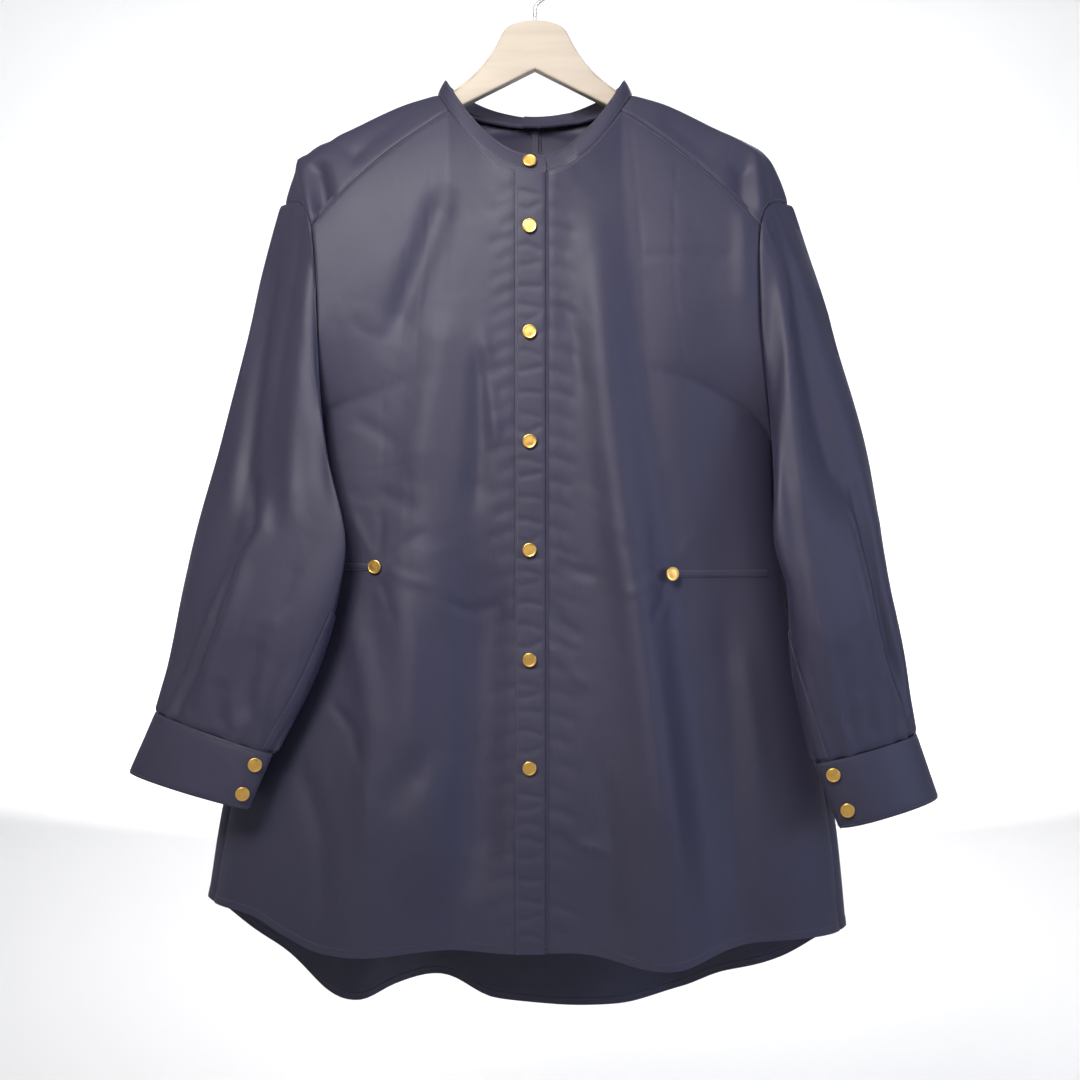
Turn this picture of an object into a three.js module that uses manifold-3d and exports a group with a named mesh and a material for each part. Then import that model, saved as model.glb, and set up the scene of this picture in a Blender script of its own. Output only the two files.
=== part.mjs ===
// A band-collar shirt tunic with long cuffed sleeves, hanging on a flat wooden hanger.
// Millimetres, +Z up. The origin is the inside top of the hanger's hook, where a rail carries it.
// The front of the shirt faces -Y. Left and right are the viewer's: left is -X, right is +X.
// Each piece that a maker would cut is its own wall of cloth, 0.3 mm from the pieces it is sewn to.
import * as THREE from "three";
import { mergeVertices } from "three/addons/utils/BufferGeometryUtils.js";
import Module from "manifold-3d";

// Walls and seams
const CLOTH = 1.5; // one worn layer of poplin with its seam bulk
const FACED = 1.6; // collar band, cuffs and plackets, which are two layers and a stiffener
const SEAM = 0.3; // gap between two pieces that are sewn together
const LIE = 0.45; // gap under a piece that lies on a panel

// Hanger and hook
const WOOD_THICK = 12;
const WOOD_EDGE = 2.4; // rounding of the wood's edges
const WOOD_TOP = -55;
const WOOD_UNDER = 4.2; // the arm's top below the outside of the cloth on it
const YOKE_COLS = 9; // columns of a yoke from the neck to the armhole
const WOOD_ARM = [2, 3, 4, 5, 6]; // columns whose line the arm's top follows
const HOOK_WIRE = 3.2;
const HOOK_INSIDE = 17; // inside radius of the hook
const HOOK_SEAT = 12; // how deep the hook's stem sits in the wood
const HOOK_FIT = 0.3;

// Collar: the seam ring at the neck and the ring of the band's top edge
const NECK_SEAM = { half: 87, front: 54, back: 34, side: -121, frontDrop: 81, backDrop: 20 };
const NECK_TOP = { half: 80, front: 46, back: 46, side: -107, frontDrop: 77, backDrop: 22 };
const YOKE_START = THREE.MathUtils.degToRad(61); // where the front yoke seam meets the neck seam
const BAND_END = 10; // how far the upper band end passes the middle
const BAND_UNDER = 13; // how far the lower band end passes the middle the other way
const BACK_LAP = 11; // overlap of the band ends at the nape

// Button plackets down the front
const OVER_LEFT = -17; // stitched edge of the upper placket
const OVER_RIGHT = 9; // free edge of the upper placket
const UNDER_LEFT = -14;
const UNDER_RIGHT = 12;
const PLACKET_RISE = 2.2; // the upper placket lies this far in front of the lower one

// Shoulders, yokes and armholes
const YOKE_TURN = { x: 150, z: -185 }; // the point that the front yoke seam bends towards
const YOKE_CORNER_Z = -243; // height where the front yoke seam meets the armhole
const BACK_CORNER_Z = -252; // height where the back yoke seam meets the armhole
const BACK_SEAM_Z = -216; // back yoke seam at the middle
const BACK_SEAM_Y = 45;
const ROOF_FLAT = 0.2; // share of a yoke's depth that lies flat on the wood's top
const ROOF_POWER = 1.3; // how roundly it falls away from there
const SLIT_TOP = 6; // width of the nape slit under the band
const SLIT_BOTTOM = 1;

// The ridge over each hanger arm, from the neck to the dropped shoulder seam
const RIDGE = [
  { at: 0, x: 87, z: -121.5 },
  { at: 0.22, x: 120, z: -131.5 },
  { at: 0.5, x: 163, z: -151 },
  { at: 0.7, x: 191, z: -164 },
  { at: 0.82, x: 209, z: -177 },
  { at: 0.91, x: 219.5, z: -197 },
  { at: 1, x: 227, z: -218 },
];

// Depth of the body's middle in front of and behind the hanger's plane
const BODY_DEPTH = [
  { at: -945, front: 62, back: 66 },
  { at: -860, front: 61, back: 63 },
  { at: -760, front: 57, back: 58 },
  { at: -600, front: 50, back: 50 },
  { at: -430, front: 50, back: 50 },
  { at: -300, front: 52, back: 48 },
  { at: -200, front: 54, back: 44 },
];

// Side seams, as distances out from the middle
const SIDE_SEAM = {
  left: [
    { at: -836, x: 284 },
    { at: -752, x: 270 },
    { at: -700, x: 257 },
    { at: -600, x: 228 },
    { at: -516, x: 212 },
    { at: -430, x: 209 },
  ],
  right: [
    { at: -861, x: 270 },
    { at: -770, x: 261 },
    { at: -700, x: 249 },
    { at: -600, x: 228 },
    { at: -516, x: 213 },
    { at: -430, x: 209 },
  ],
};
const UNDERARM_Z = -430;
const SIDE_SEAM_Y = -8;
const BODY_POWER = 2.4; // squareness of the body's sections
const FRONT_SWEEP = THREE.MathUtils.degToRad(80); // arc of a front panel's section below the armhole
const BACK_SWEEP = THREE.MathUtils.degToRad(105); // the back goes round the widest point to the front
const CHEST_SWEEP = THREE.MathUtils.degToRad(50); // flatter sections between neck and armhole

// Hems, as the height at each distance across
const FRONT_HEM = [
  { at: -284, z: -836 },
  { at: -246, z: -841 },
  { at: -218, z: -855 },
  { at: -188, z: -867 },
  { at: -150, z: -870 },
  { at: -85, z: -866 },
  { at: -10, z: -868 },
  { at: 43, z: -868 },
  { at: 93, z: -878 },
  { at: 125, z: -879 },
  { at: 165, z: -868 },
  { at: 195, z: -863 },
  { at: 270, z: -861 },
];
const BACK_HEM = [
  { at: -293, z: -838 },
  { at: -260, z: -870 },
  { at: -229, z: -894 },
  { at: -193, z: -927 },
  { at: -161, z: -936 },
  { at: -130, z: -927 },
  { at: -97, z: -923 },
  { at: -76, z: -926 },
  { at: -37, z: -943 },
  { at: 55, z: -947 },
  { at: 94, z: -946 },
  { at: 139, z: -934 },
  { at: 174, z: -915 },
  { at: 231, z: -896 },
  { at: 279, z: -862 },
];

// Soft folds of the hanging cloth: a ridge line from a top point to a bottom point, its
// half width at both ends, and how far it rises off the panel at its lower end
const FRONT_FOLDS = [
  { topX: -62, topZ: -260, botX: -150, botZ: -870, topWide: 26, botWide: 46, rise: 12 },
  { topX: 62, topZ: -230, botX: 112, botZ: -875, topWide: 24, botWide: 38, rise: 16 },
  { topX: -40, topZ: -420, botX: -68, botZ: -870, topWide: 20, botWide: 30, rise: -8 },
  { topX: 150, topZ: -300, botX: 180, botZ: -860, topWide: 24, botWide: 34, rise: -8 },
];
const BACK_FOLDS = [
  { topX: -120, topZ: -400, botX: -164, botZ: -930, topWide: 30, botWide: 34, rise: -24 },
  { topX: -60, topZ: -380, botX: -92, botZ: -925, topWide: 24, botWide: 30, rise: 12 },
  { topX: 20, topZ: -300, botX: 40, botZ: -945, topWide: 30, botWide: 40, rise: -10 },
  { topX: 96, topZ: -340, botX: 128, botZ: -930, topWide: 28, botWide: 36, rise: 14 },
  { topX: 150, topZ: -360, botX: 196, botZ: -905, topWide: 22, botWide: 30, rise: -8 },
];

// Sleeve sections from the armhole seam (0) to the cuff seam (1). out is the point on the
// outside of the arm and in is the one beside the body, with x as a distance out from the
// middle. front and back are the depths either side of the line between them, frontIn and
// backIn how far those walls lean towards the body, and lean how much more they do so above.
// The powers make a quarter of the section round (2) or folded square (above 2).
const SLEEVE = {
  left: [
    { at: 0, outX: 226, outY: 0, outZ: -218, inX: 210, inY: -8, inZ: -430,
      front: 38, frontIn: 30, back: 38, backIn: 20, lean: 4, frontPower: 4, innerPower: 1.6, backPower: 4 },
    { at: 0.14, outX: 243, outY: 0, outZ: -276, inX: 220, inY: -10, inZ: -470,
      front: 45, frontIn: 47, back: 45, backIn: 10, lean: 2, frontPower: 4, innerPower: 2.2, backPower: 3 },
    { at: 0.29, outX: 258, outY: -2, outZ: -347, inX: 210, inY: -30, inZ: -500,
      front: 46, frontIn: 53, back: 60, backIn: 0, lean: 0, frontPower: 3.2, innerPower: 2.2, backPower: 2.4 },
    { at: 0.45, outX: 278, outY: -5, outZ: -427, inX: 190, inY: -42, inZ: -530,
      front: 46, frontIn: 54, back: 64, backIn: -8, lean: 0, frontPower: 2.6, innerPower: 2.6, backPower: 2.2 },
    { at: 0.6, outX: 297, outY: -8, outZ: -498, inX: 177, inY: -48, inZ: -563,
      front: 42, frontIn: 30, back: 60, backIn: -14, lean: 0, frontPower: 2.4, innerPower: 2.8, backPower: 2.2 },
    { at: 0.74, outX: 311, outY: -12, outZ: -561, inX: 178, inY: -52, inZ: -600,
      front: 38, frontIn: 12, back: 52, backIn: -10, lean: 0, frontPower: 2.4, innerPower: 2.6, backPower: 2.2 },
    { at: 0.87, outX: 320, outY: -18, outZ: -614, inX: 193, inY: -56, inZ: -645,
      front: 30, frontIn: 4, back: 38, backIn: -5, lean: 0, frontPower: 2.4, innerPower: 2.4, backPower: 2.2 },
    { at: 1, outX: 329, outY: -30, outZ: -664, inX: 221, inY: -60, inZ: -697,
      front: 19, frontIn: 0, back: 19, backIn: 0, lean: 0, frontPower: 2.3, innerPower: 2.3, backPower: 2.3 },
  ],
  right: [
    { at: 0, outX: 229, outY: 0, outZ: -218, inX: 210, inY: -8, inZ: -430,
      front: 38, frontIn: 25, back: 38, backIn: 20, lean: 12, frontPower: 4, innerPower: 1.6, backPower: 4 },
    { at: 0.14, outX: 248, outY: 0, outZ: -276, inX: 222, inY: -8, inZ: -470,
      front: 46, frontIn: 27, back: 48, backIn: 10, lean: 0, frontPower: 4, innerPower: 2.2, backPower: 3 },
    { at: 0.29, outX: 265, outY: -2, outZ: -347, inX: 223, inY: -22, inZ: -500,
      front: 50, frontIn: 33, back: 64, backIn: 0, lean: 0, frontPower: 3, innerPower: 2.2, backPower: 2.4 },
    { at: 0.45, outX: 288, outY: -5, outZ: -427, inX: 221, inY: -34, inZ: -530,
      front: 52, frontIn: 36, back: 70, backIn: -8, lean: 0, frontPower: 2.6, innerPower: 2.4, backPower: 2.2 },
    { at: 0.6, outX: 301, outY: -8, outZ: -498, inX: 218, inY: -44, inZ: -563,
      front: 50, frontIn: 14, back: 68, backIn: -14, lean: 0, frontPower: 2.4, innerPower: 2.6, backPower: 2.2 },
    { at: 0.74, outX: 314, outY: -12, outZ: -561, inX: 219, inY: -50, inZ: -600,
      front: 46, frontIn: 5, back: 60, backIn: -10, lean: 0, frontPower: 2.4, innerPower: 2.4, backPower: 2.2 },
    { at: 0.87, outX: 325, outY: -18, outZ: -620, inX: 224, inY: -54, inZ: -650,
      front: 36, frontIn: 2, back: 44, backIn: -5, lean: 0, frontPower: 2.4, innerPower: 2.4, backPower: 2.2 },
    { at: 1, outX: 331, outY: -30, outZ: -683, inX: 236, inY: -58, inZ: -705,
      front: 24, frontIn: 0, back: 24, backIn: 0, lean: 0, frontPower: 2.3, innerPower: 2.3, backPower: 2.3 },
  ],
};
// The long fold down the outside of each sleeve: its angle round the section, half width
// and depth as a share of the section at each station
const SLEEVE_FOLD = [
  { at: 0, angle: 34, wide: 12, depth: 0 },
  { at: 0.08, angle: 34, wide: 13, depth: 0.1 },
  { at: 0.3, angle: 36, wide: 15, depth: 0.2 },
  { at: 0.6, angle: 38, wide: 16, depth: 0.22 },
  { at: 0.85, angle: 34, wide: 13, depth: 0.2 },
  { at: 1, angle: 30, wide: 10, depth: 0.05 },
];
// Bottom ring of each cuff
const CUFF_HEM = {
  left: { outX: 351, outY: -34, outZ: -717, inX: 241, inY: -62, inZ: -744 },
  right: { outX: 349, outY: -34, outZ: -738, inX: 257, inY: -60, inZ: -760 },
};
const SLEEVE_ROWS = [0, 0.04, 0.09, 0.15, 0.22, 0.3, 0.39, 0.48, 0.57, 0.66, 0.75, 0.84, 0.92, 1];
const SLEEVE_COLS = 28;
const SLEEVE_LAP = 2.3; // the sleeve's front edge is lapped over the panel's
const CUFF_START = 128; // degrees round the section where the lower cuff end begins
const CUFF_END = 170; // and where the upper end stops, after a full turn
const BACK_BULGE = 1.03; // widest part of the back against the side seam
const CUFF_SLACK = 5; // clearance of sleeves from the body where they hang beside it

// Waist channels and sleeve-slit plackets, which lie on their panels
const TAB = { high: 6.5, thick: 0.8, end: 203 };
const SLEEVE_SLIT = {
  left: [{ at: 0.67, from: 142, to: 176 }, { at: 1, from: 140, to: 176 }],
  right: [{ at: 0.72, from: 172, to: 198 }, { at: 0.86, from: 146, to: 176 }, { at: 1, from: 134, to: 172 }],
};

// Buttons
const BUTTON = { radius: 6, cap: 2, rim: 0.7, shank: 2, stand: 1.5 };
const FRONT_BUTTON_X = -4.5;
const COLLAR_BUTTON_UP = 0.52; // share of the band's height
const FRONT_BUTTON_Z = [-248, -338, -431.5, -524.5, -618.5, -710.5];
const WAIST_BUTTONS = { left: { x: -137, z: -539 }, right: { x: 117, z: -545 } };
const CUFF_BUTTONS = {
  left: [{ turn: 141, down: 0.24 }, { turn: 141, down: 0.75 }],
  right: [{ turn: 136, down: 0.2 }, { turn: 135, down: 0.74 }],
}; // degrees round the cuff and share of its height

const COLOURS = { cloth: 0x34344a, gold: 0xd9b262, wood: 0xe6d6bd, wire: 0xb9bbbe };

const group = new THREE.Group();
const point = (x, y, z) => new THREE.Vector3(x, y, z);
const mix = (a, b, t) => a + (b - a) * t;
const clamp01 = (t) => Math.min(1, Math.max(0, t));
const smooth = (t) => clamp01(t) ** 2 * (3 - 2 * clamp01(t));
const signOf = (side) => (side === "left" ? -1 : 1);

// A column of a table at a place along it, on a smooth curve through the rows.
function along(rows, key, at) {
  const last = rows.length - 1;
  if (at <= rows[0].at) return rows[0][key];
  if (at >= rows[last].at) return rows[last][key];
  let i = 0;
  while (rows[i + 1].at < at) i++;
  const slope = (a, b) => (rows[b][key] - rows[a][key]) / (rows[b].at - rows[a].at);
  const here = slope(i, i + 1);
  const before = i > 0 ? slope(i - 1, i + 1) : here;
  const after = i + 2 <= last ? slope(i, i + 2) : here;
  const span = rows[i + 1].at - rows[i].at;
  const t = (at - rows[i].at) / span;
  const h = [2 * t ** 3 - 3 * t ** 2 + 1, t ** 3 - 2 * t ** 2 + t, 3 * t ** 2 - 2 * t ** 3, t ** 3 - t ** 2];
  return h[0] * rows[i][key] + h[1] * span * before + h[2] * rows[i + 1][key] + h[3] * span * after;
}

// The way that a grid's surface faces at one of its points.
function facing(grid, i, j, round) {
  const cols = grid[0].length;
  const at = (row, col) => grid[row][round ? (col + cols) % cols : THREE.MathUtils.clamp(col, 0, cols - 1)];
  const down = at(Math.min(i + 1, grid.length - 1), j).clone().sub(at(Math.max(i - 1, 0), j));
  const across = at(i, j + 1).clone().sub(at(i, j - 1));
  return down.cross(across).normalize();
}

function lift(grid, distance, round = false) {
  return grid.map((row, i) =>
    row.map((p, j) => p.clone().addScaledVector(facing(grid, i, j, round), distance)),
  );
}

// A closed wall of cloth behind a grid of its outer points: rows of columns. turn is +1
// where the rows go down and the columns go right as seen from outside, and -1 where
// the columns go left.
function wall(grid, thick, turn, round = false) {
  const rows = grid.length;
  const cols = grid[0].length;
  const inner = lift(grid, -turn * thick, round);
  const places = [...grid.flat(), ...inner.flat()];
  const outerAt = (i, j) => i * cols + (j % cols);
  const innerAt = (i, j) => rows * cols + outerAt(i, j);
  const faces = [];
  const quad = (a, b, c, d) => (turn > 0 ? faces.push(a, b, c, a, c, d) : faces.push(a, c, b, a, d, c));
  const lastCol = round ? cols : cols - 1;
  for (let i = 0; i < rows - 1; i++)
    for (let j = 0; j < lastCol; j++) {
      quad(outerAt(i, j), outerAt(i + 1, j), outerAt(i + 1, j + 1), outerAt(i, j + 1));
      quad(innerAt(i, j), innerAt(i, j + 1), innerAt(i + 1, j + 1), innerAt(i + 1, j));
    }
  for (let j = 0; j < lastCol; j++) {
    quad(outerAt(0, j), outerAt(0, j + 1), innerAt(0, j + 1), innerAt(0, j));
    const i = rows - 1;
    quad(outerAt(i, j), innerAt(i, j), innerAt(i, j + 1), outerAt(i, j + 1));
  }
  if (!round)
    for (let i = 0; i < rows - 1; i++) {
      quad(outerAt(i, 0), innerAt(i, 0), innerAt(i + 1, 0), outerAt(i + 1, 0));
      const j = cols - 1;
      quad(outerAt(i, j), outerAt(i + 1, j), innerAt(i + 1, j), innerAt(i, j));
    }
  const shape = new THREE.BufferGeometry().setFromPoints(places);
  shape.setIndex(faces);
  shape.computeVertexNormals();
  return shape;
}

function gridOf(rows, cols, at) {
  return Array.from({ length: rows + 1 }, (_, i) =>
    Array.from({ length: cols + 1 }, (_, j) => at(j / cols, i / rows)),
  );
}

function add(name, shape, colour, metal = 0, rough = 0.75) {
  const finish = new THREE.MeshStandardMaterial({ color: colour, metalness: metal, roughness: rough });
  const mesh = new THREE.Mesh(shape, finish);
  mesh.name = name;
  group.add(mesh);
  return mesh;
}

// Neck rings

function neck(angle, share) {
  const ring = (key) => mix(NECK_SEAM[key], NECK_TOP[key], share);
  const c = Math.cos(angle);
  const depth = c > 0 ? ring("front") : ring("back");
  const drop = c > 0 ? ring("frontDrop") : ring("backDrop");
  return point(ring("half") * Math.sin(angle), -depth * c, ring("side") - drop * c * c);
}

// Sleeve sections and the armhole

function section(row, angle) {
  const c0 = Math.cos(angle);
  const s0 = Math.sin(angle);
  const isFront = s0 >= 0;
  const power = c0 >= 0 ? (isFront ? row.frontPower : row.backPower) : row.innerPower;
  const c = Math.sign(c0) * Math.abs(c0) ** (2 / power);
  const s = Math.abs(s0) ** (2 / power);
  const depth = isFront ? -row.front : row.back;
  const inward = isFront ? row.frontIn : row.backIn;
  const half = { x: (row.outX - row.inX) / 2, y: (row.outY - row.inY) / 2, z: (row.outZ - row.inZ) / 2 };
  return point(
    row.inX + half.x + half.x * c - inward * s - row.lean * c * s,
    row.inY + half.y + half.y * c + depth * s,
    row.inZ + half.z + half.z * c,
  );
}

function armholeAt(side, z, isFront) {
  const row = SLEEVE[side][0];
  const half = (row.outZ - row.inZ) / 2;
  const c = THREE.MathUtils.clamp((z - row.inZ - half) / half, -1, 1);
  const power = c >= 0 ? (isFront ? row.frontPower : row.backPower) : row.innerPower;
  const raw = Math.sign(c) * Math.abs(c) ** (power / 2);
  const place = section(row, isFront ? Math.acos(raw) : -Math.acos(raw));
  place.x *= signOf(side);
  return place;
}

function sleeveRow(side, s) {
  const keys = Object.keys(SLEEVE[side][0]).filter((key) => key !== "at");
  return Object.fromEntries(keys.map((key) => [key, along(SLEEVE[side], key, s)]));
}

// The body's section at a height, grown by a clearance; a sleeve's point inside it moves out.
function clearOfBody(side, place) {
  const half = along(SIDE_SEAM[side], "x", place.z) * BACK_BULGE + CUFF_SLACK;
  const deep = along(BODY_DEPTH, place.y < 0 ? "front" : "back", place.z) + CUFF_SLACK + PLACKET_RISE;
  const share = (Math.abs(place.x) / half) ** BODY_POWER + (Math.abs(place.y) / deep) ** BODY_POWER;
  if (share >= 1) return place;
  const grow = mix(1, share ** (-1 / BODY_POWER), smooth((UNDERARM_Z + 45 - place.z) / 35));
  return point(place.x * grow, place.y * grow, place.z);
}

function sleevePoint(side, s, angle) {
  const row = sleeveRow(side, s);
  const place = section(row, angle);
  const middle = point((row.outX + row.inX) / 2, (row.outY + row.inY) / 2, (row.outZ + row.inZ) / 2);
  const degrees = THREE.MathUtils.radToDeg(angle);
  const off = (degrees - along(SLEEVE_FOLD, "angle", s)) / along(SLEEVE_FOLD, "wide", s);
  place.lerp(middle, along(SLEEVE_FOLD, "depth", s) * Math.exp(-off * off));
  return clearOfBody(side, place);
}

// Ridge over the hanger, and the seams that bound the yokes

function ridge(side, u) {
  return point(signOf(side) * along(RIDGE, "x", u), 0, along(RIDGE, "z", u));
}

function frontYokeSeam(side, q) {
  const start = neck(YOKE_START, 0);
  const end = armholeAt(side, YOKE_CORNER_Z, true);
  const sign = signOf(side);
  const curve = (a, b, c) => (1 - q) ** 2 * a + 2 * q * (1 - q) * b + q ** 2 * c;
  return point(
    sign * curve(start.x, YOKE_TURN.x, Math.abs(end.x)),
    mix(start.y, end.y, q ** 0.8),
    curve(start.z, YOKE_TURN.z, end.z),
  );
}

// The top edge of a front panel at a distance across: the neck seam, then the yoke seam.
function frontTop(side, x) {
  const start = neck(YOKE_START, 0);
  const far = Math.abs(x);
  if (far <= start.x) {
    const place = neck(Math.asin(far / NECK_SEAM.half), 0);
    return point(x, place.y, place.z);
  }
  const end = Math.abs(armholeAt(side, YOKE_CORNER_Z, true).x);
  const a = start.x - 2 * YOKE_TURN.x + end;
  const b = 2 * (YOKE_TURN.x - start.x);
  const q = (-b + Math.sqrt(Math.max(b * b - 4 * a * (start.x - far), 0))) / (2 * a);
  return frontYokeSeam(side, clamp01(q));
}

function backTop(x) {
  const end = armholeAt(x < 0 ? "left" : "right", BACK_CORNER_Z, false);
  const share = Math.min(1, Math.abs(x / end.x));
  return point(x, mix(BACK_SEAM_Y, end.y, share ** 2.5), mix(BACK_SEAM_Z, end.z, share ** 2));
}

// Folds: how far a panel's cloth stands off its plain section at a place

function foldRise(folds, x, z) {
  return folds.reduce((sum, fold) => {
    const t = (z - fold.topZ) / (fold.botZ - fold.topZ);
    const line = mix(fold.topX, fold.botX, t);
    const wide = mix(fold.topWide, fold.botWide, clamp01(t));
    return sum + fold.rise * smooth(t + 0.15) * Math.exp(-(((x - line) / wide) ** 2));
  }, 0);
}

// Panels hang from their top edge to their hem, from the middle out to the armhole and side seam

function sweepAt(z, low) {
  return mix(low, CHEST_SWEEP, smooth((z - UNDERARM_Z + 50) / 200));
}

function panelPoint(side, front, innerX, across, down) {
  const sign = signOf(side);
  const corner = armholeAt(side, front ? YOKE_CORNER_Z : BACK_CORNER_Z, front);
  const seamRows = SIDE_SEAM[side];
  const hem = front ? FRONT_HEM : BACK_HEM;
  const bottomX = sign * seamRows[0].x;
  const edgeZ = mix(corner.z, seamRows[0].at, down);
  let edge;
  if (edgeZ > seamRows.at(-1).at) edge = armholeAt(side, edgeZ, front);
  else edge = point(sign * along(seamRows, "x", edgeZ), SIDE_SEAM_Y, edgeZ);
  if (edgeZ < UNDERARM_Z + 20) edge.y += front ? -SEAM * 1.4 : SEAM * 1.4;
  const sweepNow = sweepAt(edgeZ, front ? FRONT_SWEEP : BACK_SWEEP);
  const power = 2 / BODY_POWER;
  const bend = (sweep) => (a) => Math.sin(a * sweep) ** power / Math.sin(sweep) ** power;
  const fall = (a) => Math.sign(Math.cos(a)) * Math.abs(Math.cos(a)) ** power;
  const spread = bend(sweepNow)(across);
  const x = mix(innerX, edge.x, spread);
  const topX = mix(innerX, corner.x, bend(sweepAt(corner.z, 0))(across));
  const top = front ? frontTop(side, topX) : backTop(topX);
  const hemX = mix(innerX, bottomX, bend(sweepAt(seamRows[0].at, front ? FRONT_SWEEP : BACK_SWEEP))(across));
  const hemEdge = along(hem, "z", bottomX);
  const hemZ = along(hem, "z", hemX) + (seamRows[0].at - hemEdge) * across ** 6;
  const z = mix(top.z, hemZ, down);
  const middle = (front ? -1 : 1) * along(BODY_DEPTH, front ? "front" : "back", z);
  const drop = (fall(across * sweepNow) - fall(sweepNow)) / (1 - fall(sweepNow));
  let y = mix(edge.y, middle, drop);
  const topMiddle = (front ? -1 : 1) * along(BODY_DEPTH, front ? "front" : "back", top.z);
  const topSweep = sweepAt(corner.z, 0);
  const topDrop = (fall(across * topSweep) - fall(topSweep)) / (1 - fall(topSweep));
  y += (top.y - mix(corner.y, topMiddle, topDrop)) * Math.exp(-down * 9) * (1 - down);
  const calm = smooth(down * 8) * (1 - smooth((across - 0.75) / 0.25));
  y += (front ? -1 : 1) * foldRise(front ? FRONT_FOLDS : BACK_FOLDS, x, z) * calm;
  return point(x, y, z - (1 - down) * SEAM * 3);
}

// Pieces

function frontPanel(side) {
  const inner = side === "left" ? OVER_LEFT - SEAM : UNDER_RIGHT + SEAM;
  const rise = side === "left" ? PLACKET_RISE : 0;
  const grid = gridOf(18, 13, (a, b) => {
    const place = panelPoint(side, true, inner, a, b);
    place.y -= rise * (1 - smooth(a * 3));
    return place;
  });
  add("front_" + side, wall(grid, CLOTH, signOf(side)), COLOURS.cloth);
  waistTab(side, grid);
  const { x, z } = WAIST_BUTTONS[side];
  const place = onFacets(grid, x, z);
  const beside = onFacets(grid, x + 4, z);
  button("button_waist_" + side, place, point((beside.y - place.y) / 4, -1, 0));
}

function backPanel() {
  const half = (side) => gridOf(19, 12, (a, b) => panelPoint(side, false, 0, a, b));
  const left = half("left");
  const right = half("right");
  const grid = left.map((row, i) => [...row.slice(1).reverse(), ...right[i]]);
  add("back", wall(grid, CLOTH, -1), COLOURS.cloth);
}

function placketStrip(name, from, to, rise) {
  const grid = gridOf(24, 2, (a, b) => {
    const x = mix(from, to, a);
    const top = frontTop(x < 0 ? "left" : "right", x);
    const z = mix(top.z - SEAM * 1.5, along(FRONT_HEM, "z", x), b);
    const settle = (top.y + along(BODY_DEPTH, "front", top.z)) * Math.exp(-b * 9);
    const y = -along(BODY_DEPTH, "front", z) + settle - foldRise(FRONT_FOLDS, x, z) * smooth(b * 8);
    return point(x, y - rise, z);
  });
  add(name, wall(grid, FACED, 1), COLOURS.cloth);
  return grid;
}

// A yoke goes from its front seam over the hanger's arm to its back seam. across runs from
// the neck to the armhole, and over is -1 at the front seam, 0 on the ridge, 1 at the back.
function yokePoint(side, across, over) {
  const sign = signOf(side);
  const crest = ridge(side, across);
  const a = Math.abs(over);
  const fall = clamp01((a - ROOF_FLAT) / (1 - ROOF_FLAT)) ** ROOF_POWER;
  const hang = (from, to) => point(mix(from.x, to.x, a), mix(from.y, to.y, a), mix(from.z, to.z, fall));
  const cornerZ = over < 0 ? YOKE_CORNER_Z : BACK_CORNER_Z;
  const armhole = armholeAt(side, mix(SLEEVE[side][0].outZ, cornerZ, a * a), over < 0);
  let seam;
  let seamIn;
  let neckEdge;
  if (over < 0) {
    seam = frontYokeSeam(side, across);
    seamIn = frontYokeSeam(side, 0);
    neckEdge = neck(mix(Math.PI / 2, YOKE_START, a), 0);
    neckEdge.x *= sign;
  } else {
    const slit = SLIT_BOTTOM / 2;
    const cornerX = Math.abs(armholeAt(side, BACK_CORNER_Z, false).x);
    seam = backTop(sign * mix(slit, cornerX, across));
    seamIn = backTop(sign * slit);
    if (a < 0.5) {
      neckEdge = neck(mix(Math.PI / 2, Math.PI - Math.asin(SLIT_TOP / 2 / NECK_SEAM.half), a * 2), 0);
      neckEdge.x *= sign;
    } else {
      const nape = neck(Math.PI - Math.asin(SLIT_TOP / 2 / NECK_SEAM.half), 0);
      nape.x *= sign;
      const t = a * 2 - 1;
      neckEdge = point(mix(nape.x, seamIn.x, t), mix(nape.y, seamIn.y, Math.sqrt(t)), mix(nape.z, seamIn.z, t));
    }
  }
  neckEdge.z -= SEAM;
  const place = hang(crest, seam);
  place.addScaledVector(neckEdge.clone().sub(hang(ridge(side, 0), seamIn)), (1 - across) ** 2);
  const seamOut = over < 0 ? frontYokeSeam(side, 1) : backTop(sign * Math.abs(armholeAt(side, BACK_CORNER_Z, false).x));
  place.addScaledVector(armhole.clone().sub(hang(ridge(side, 1), seamOut)), across ** 3);
  return place;
}

function yoke(side) {
  const rows = [-1, -0.8, -0.6, -0.45, -0.32, -0.2, 0, 0.1, 0.2, 0.27, 0.34, 0.42, 0.5, 0.6, 0.72, 0.86, 1];
  const grid = rows.map((over) =>
    Array.from({ length: YOKE_COLS + 1 }, (_, j) => yokePoint(side, j / YOKE_COLS, over)),
  );
  add("yoke_" + side, wall(grid, CLOTH, -signOf(side)), COLOURS.cloth);
}

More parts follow.
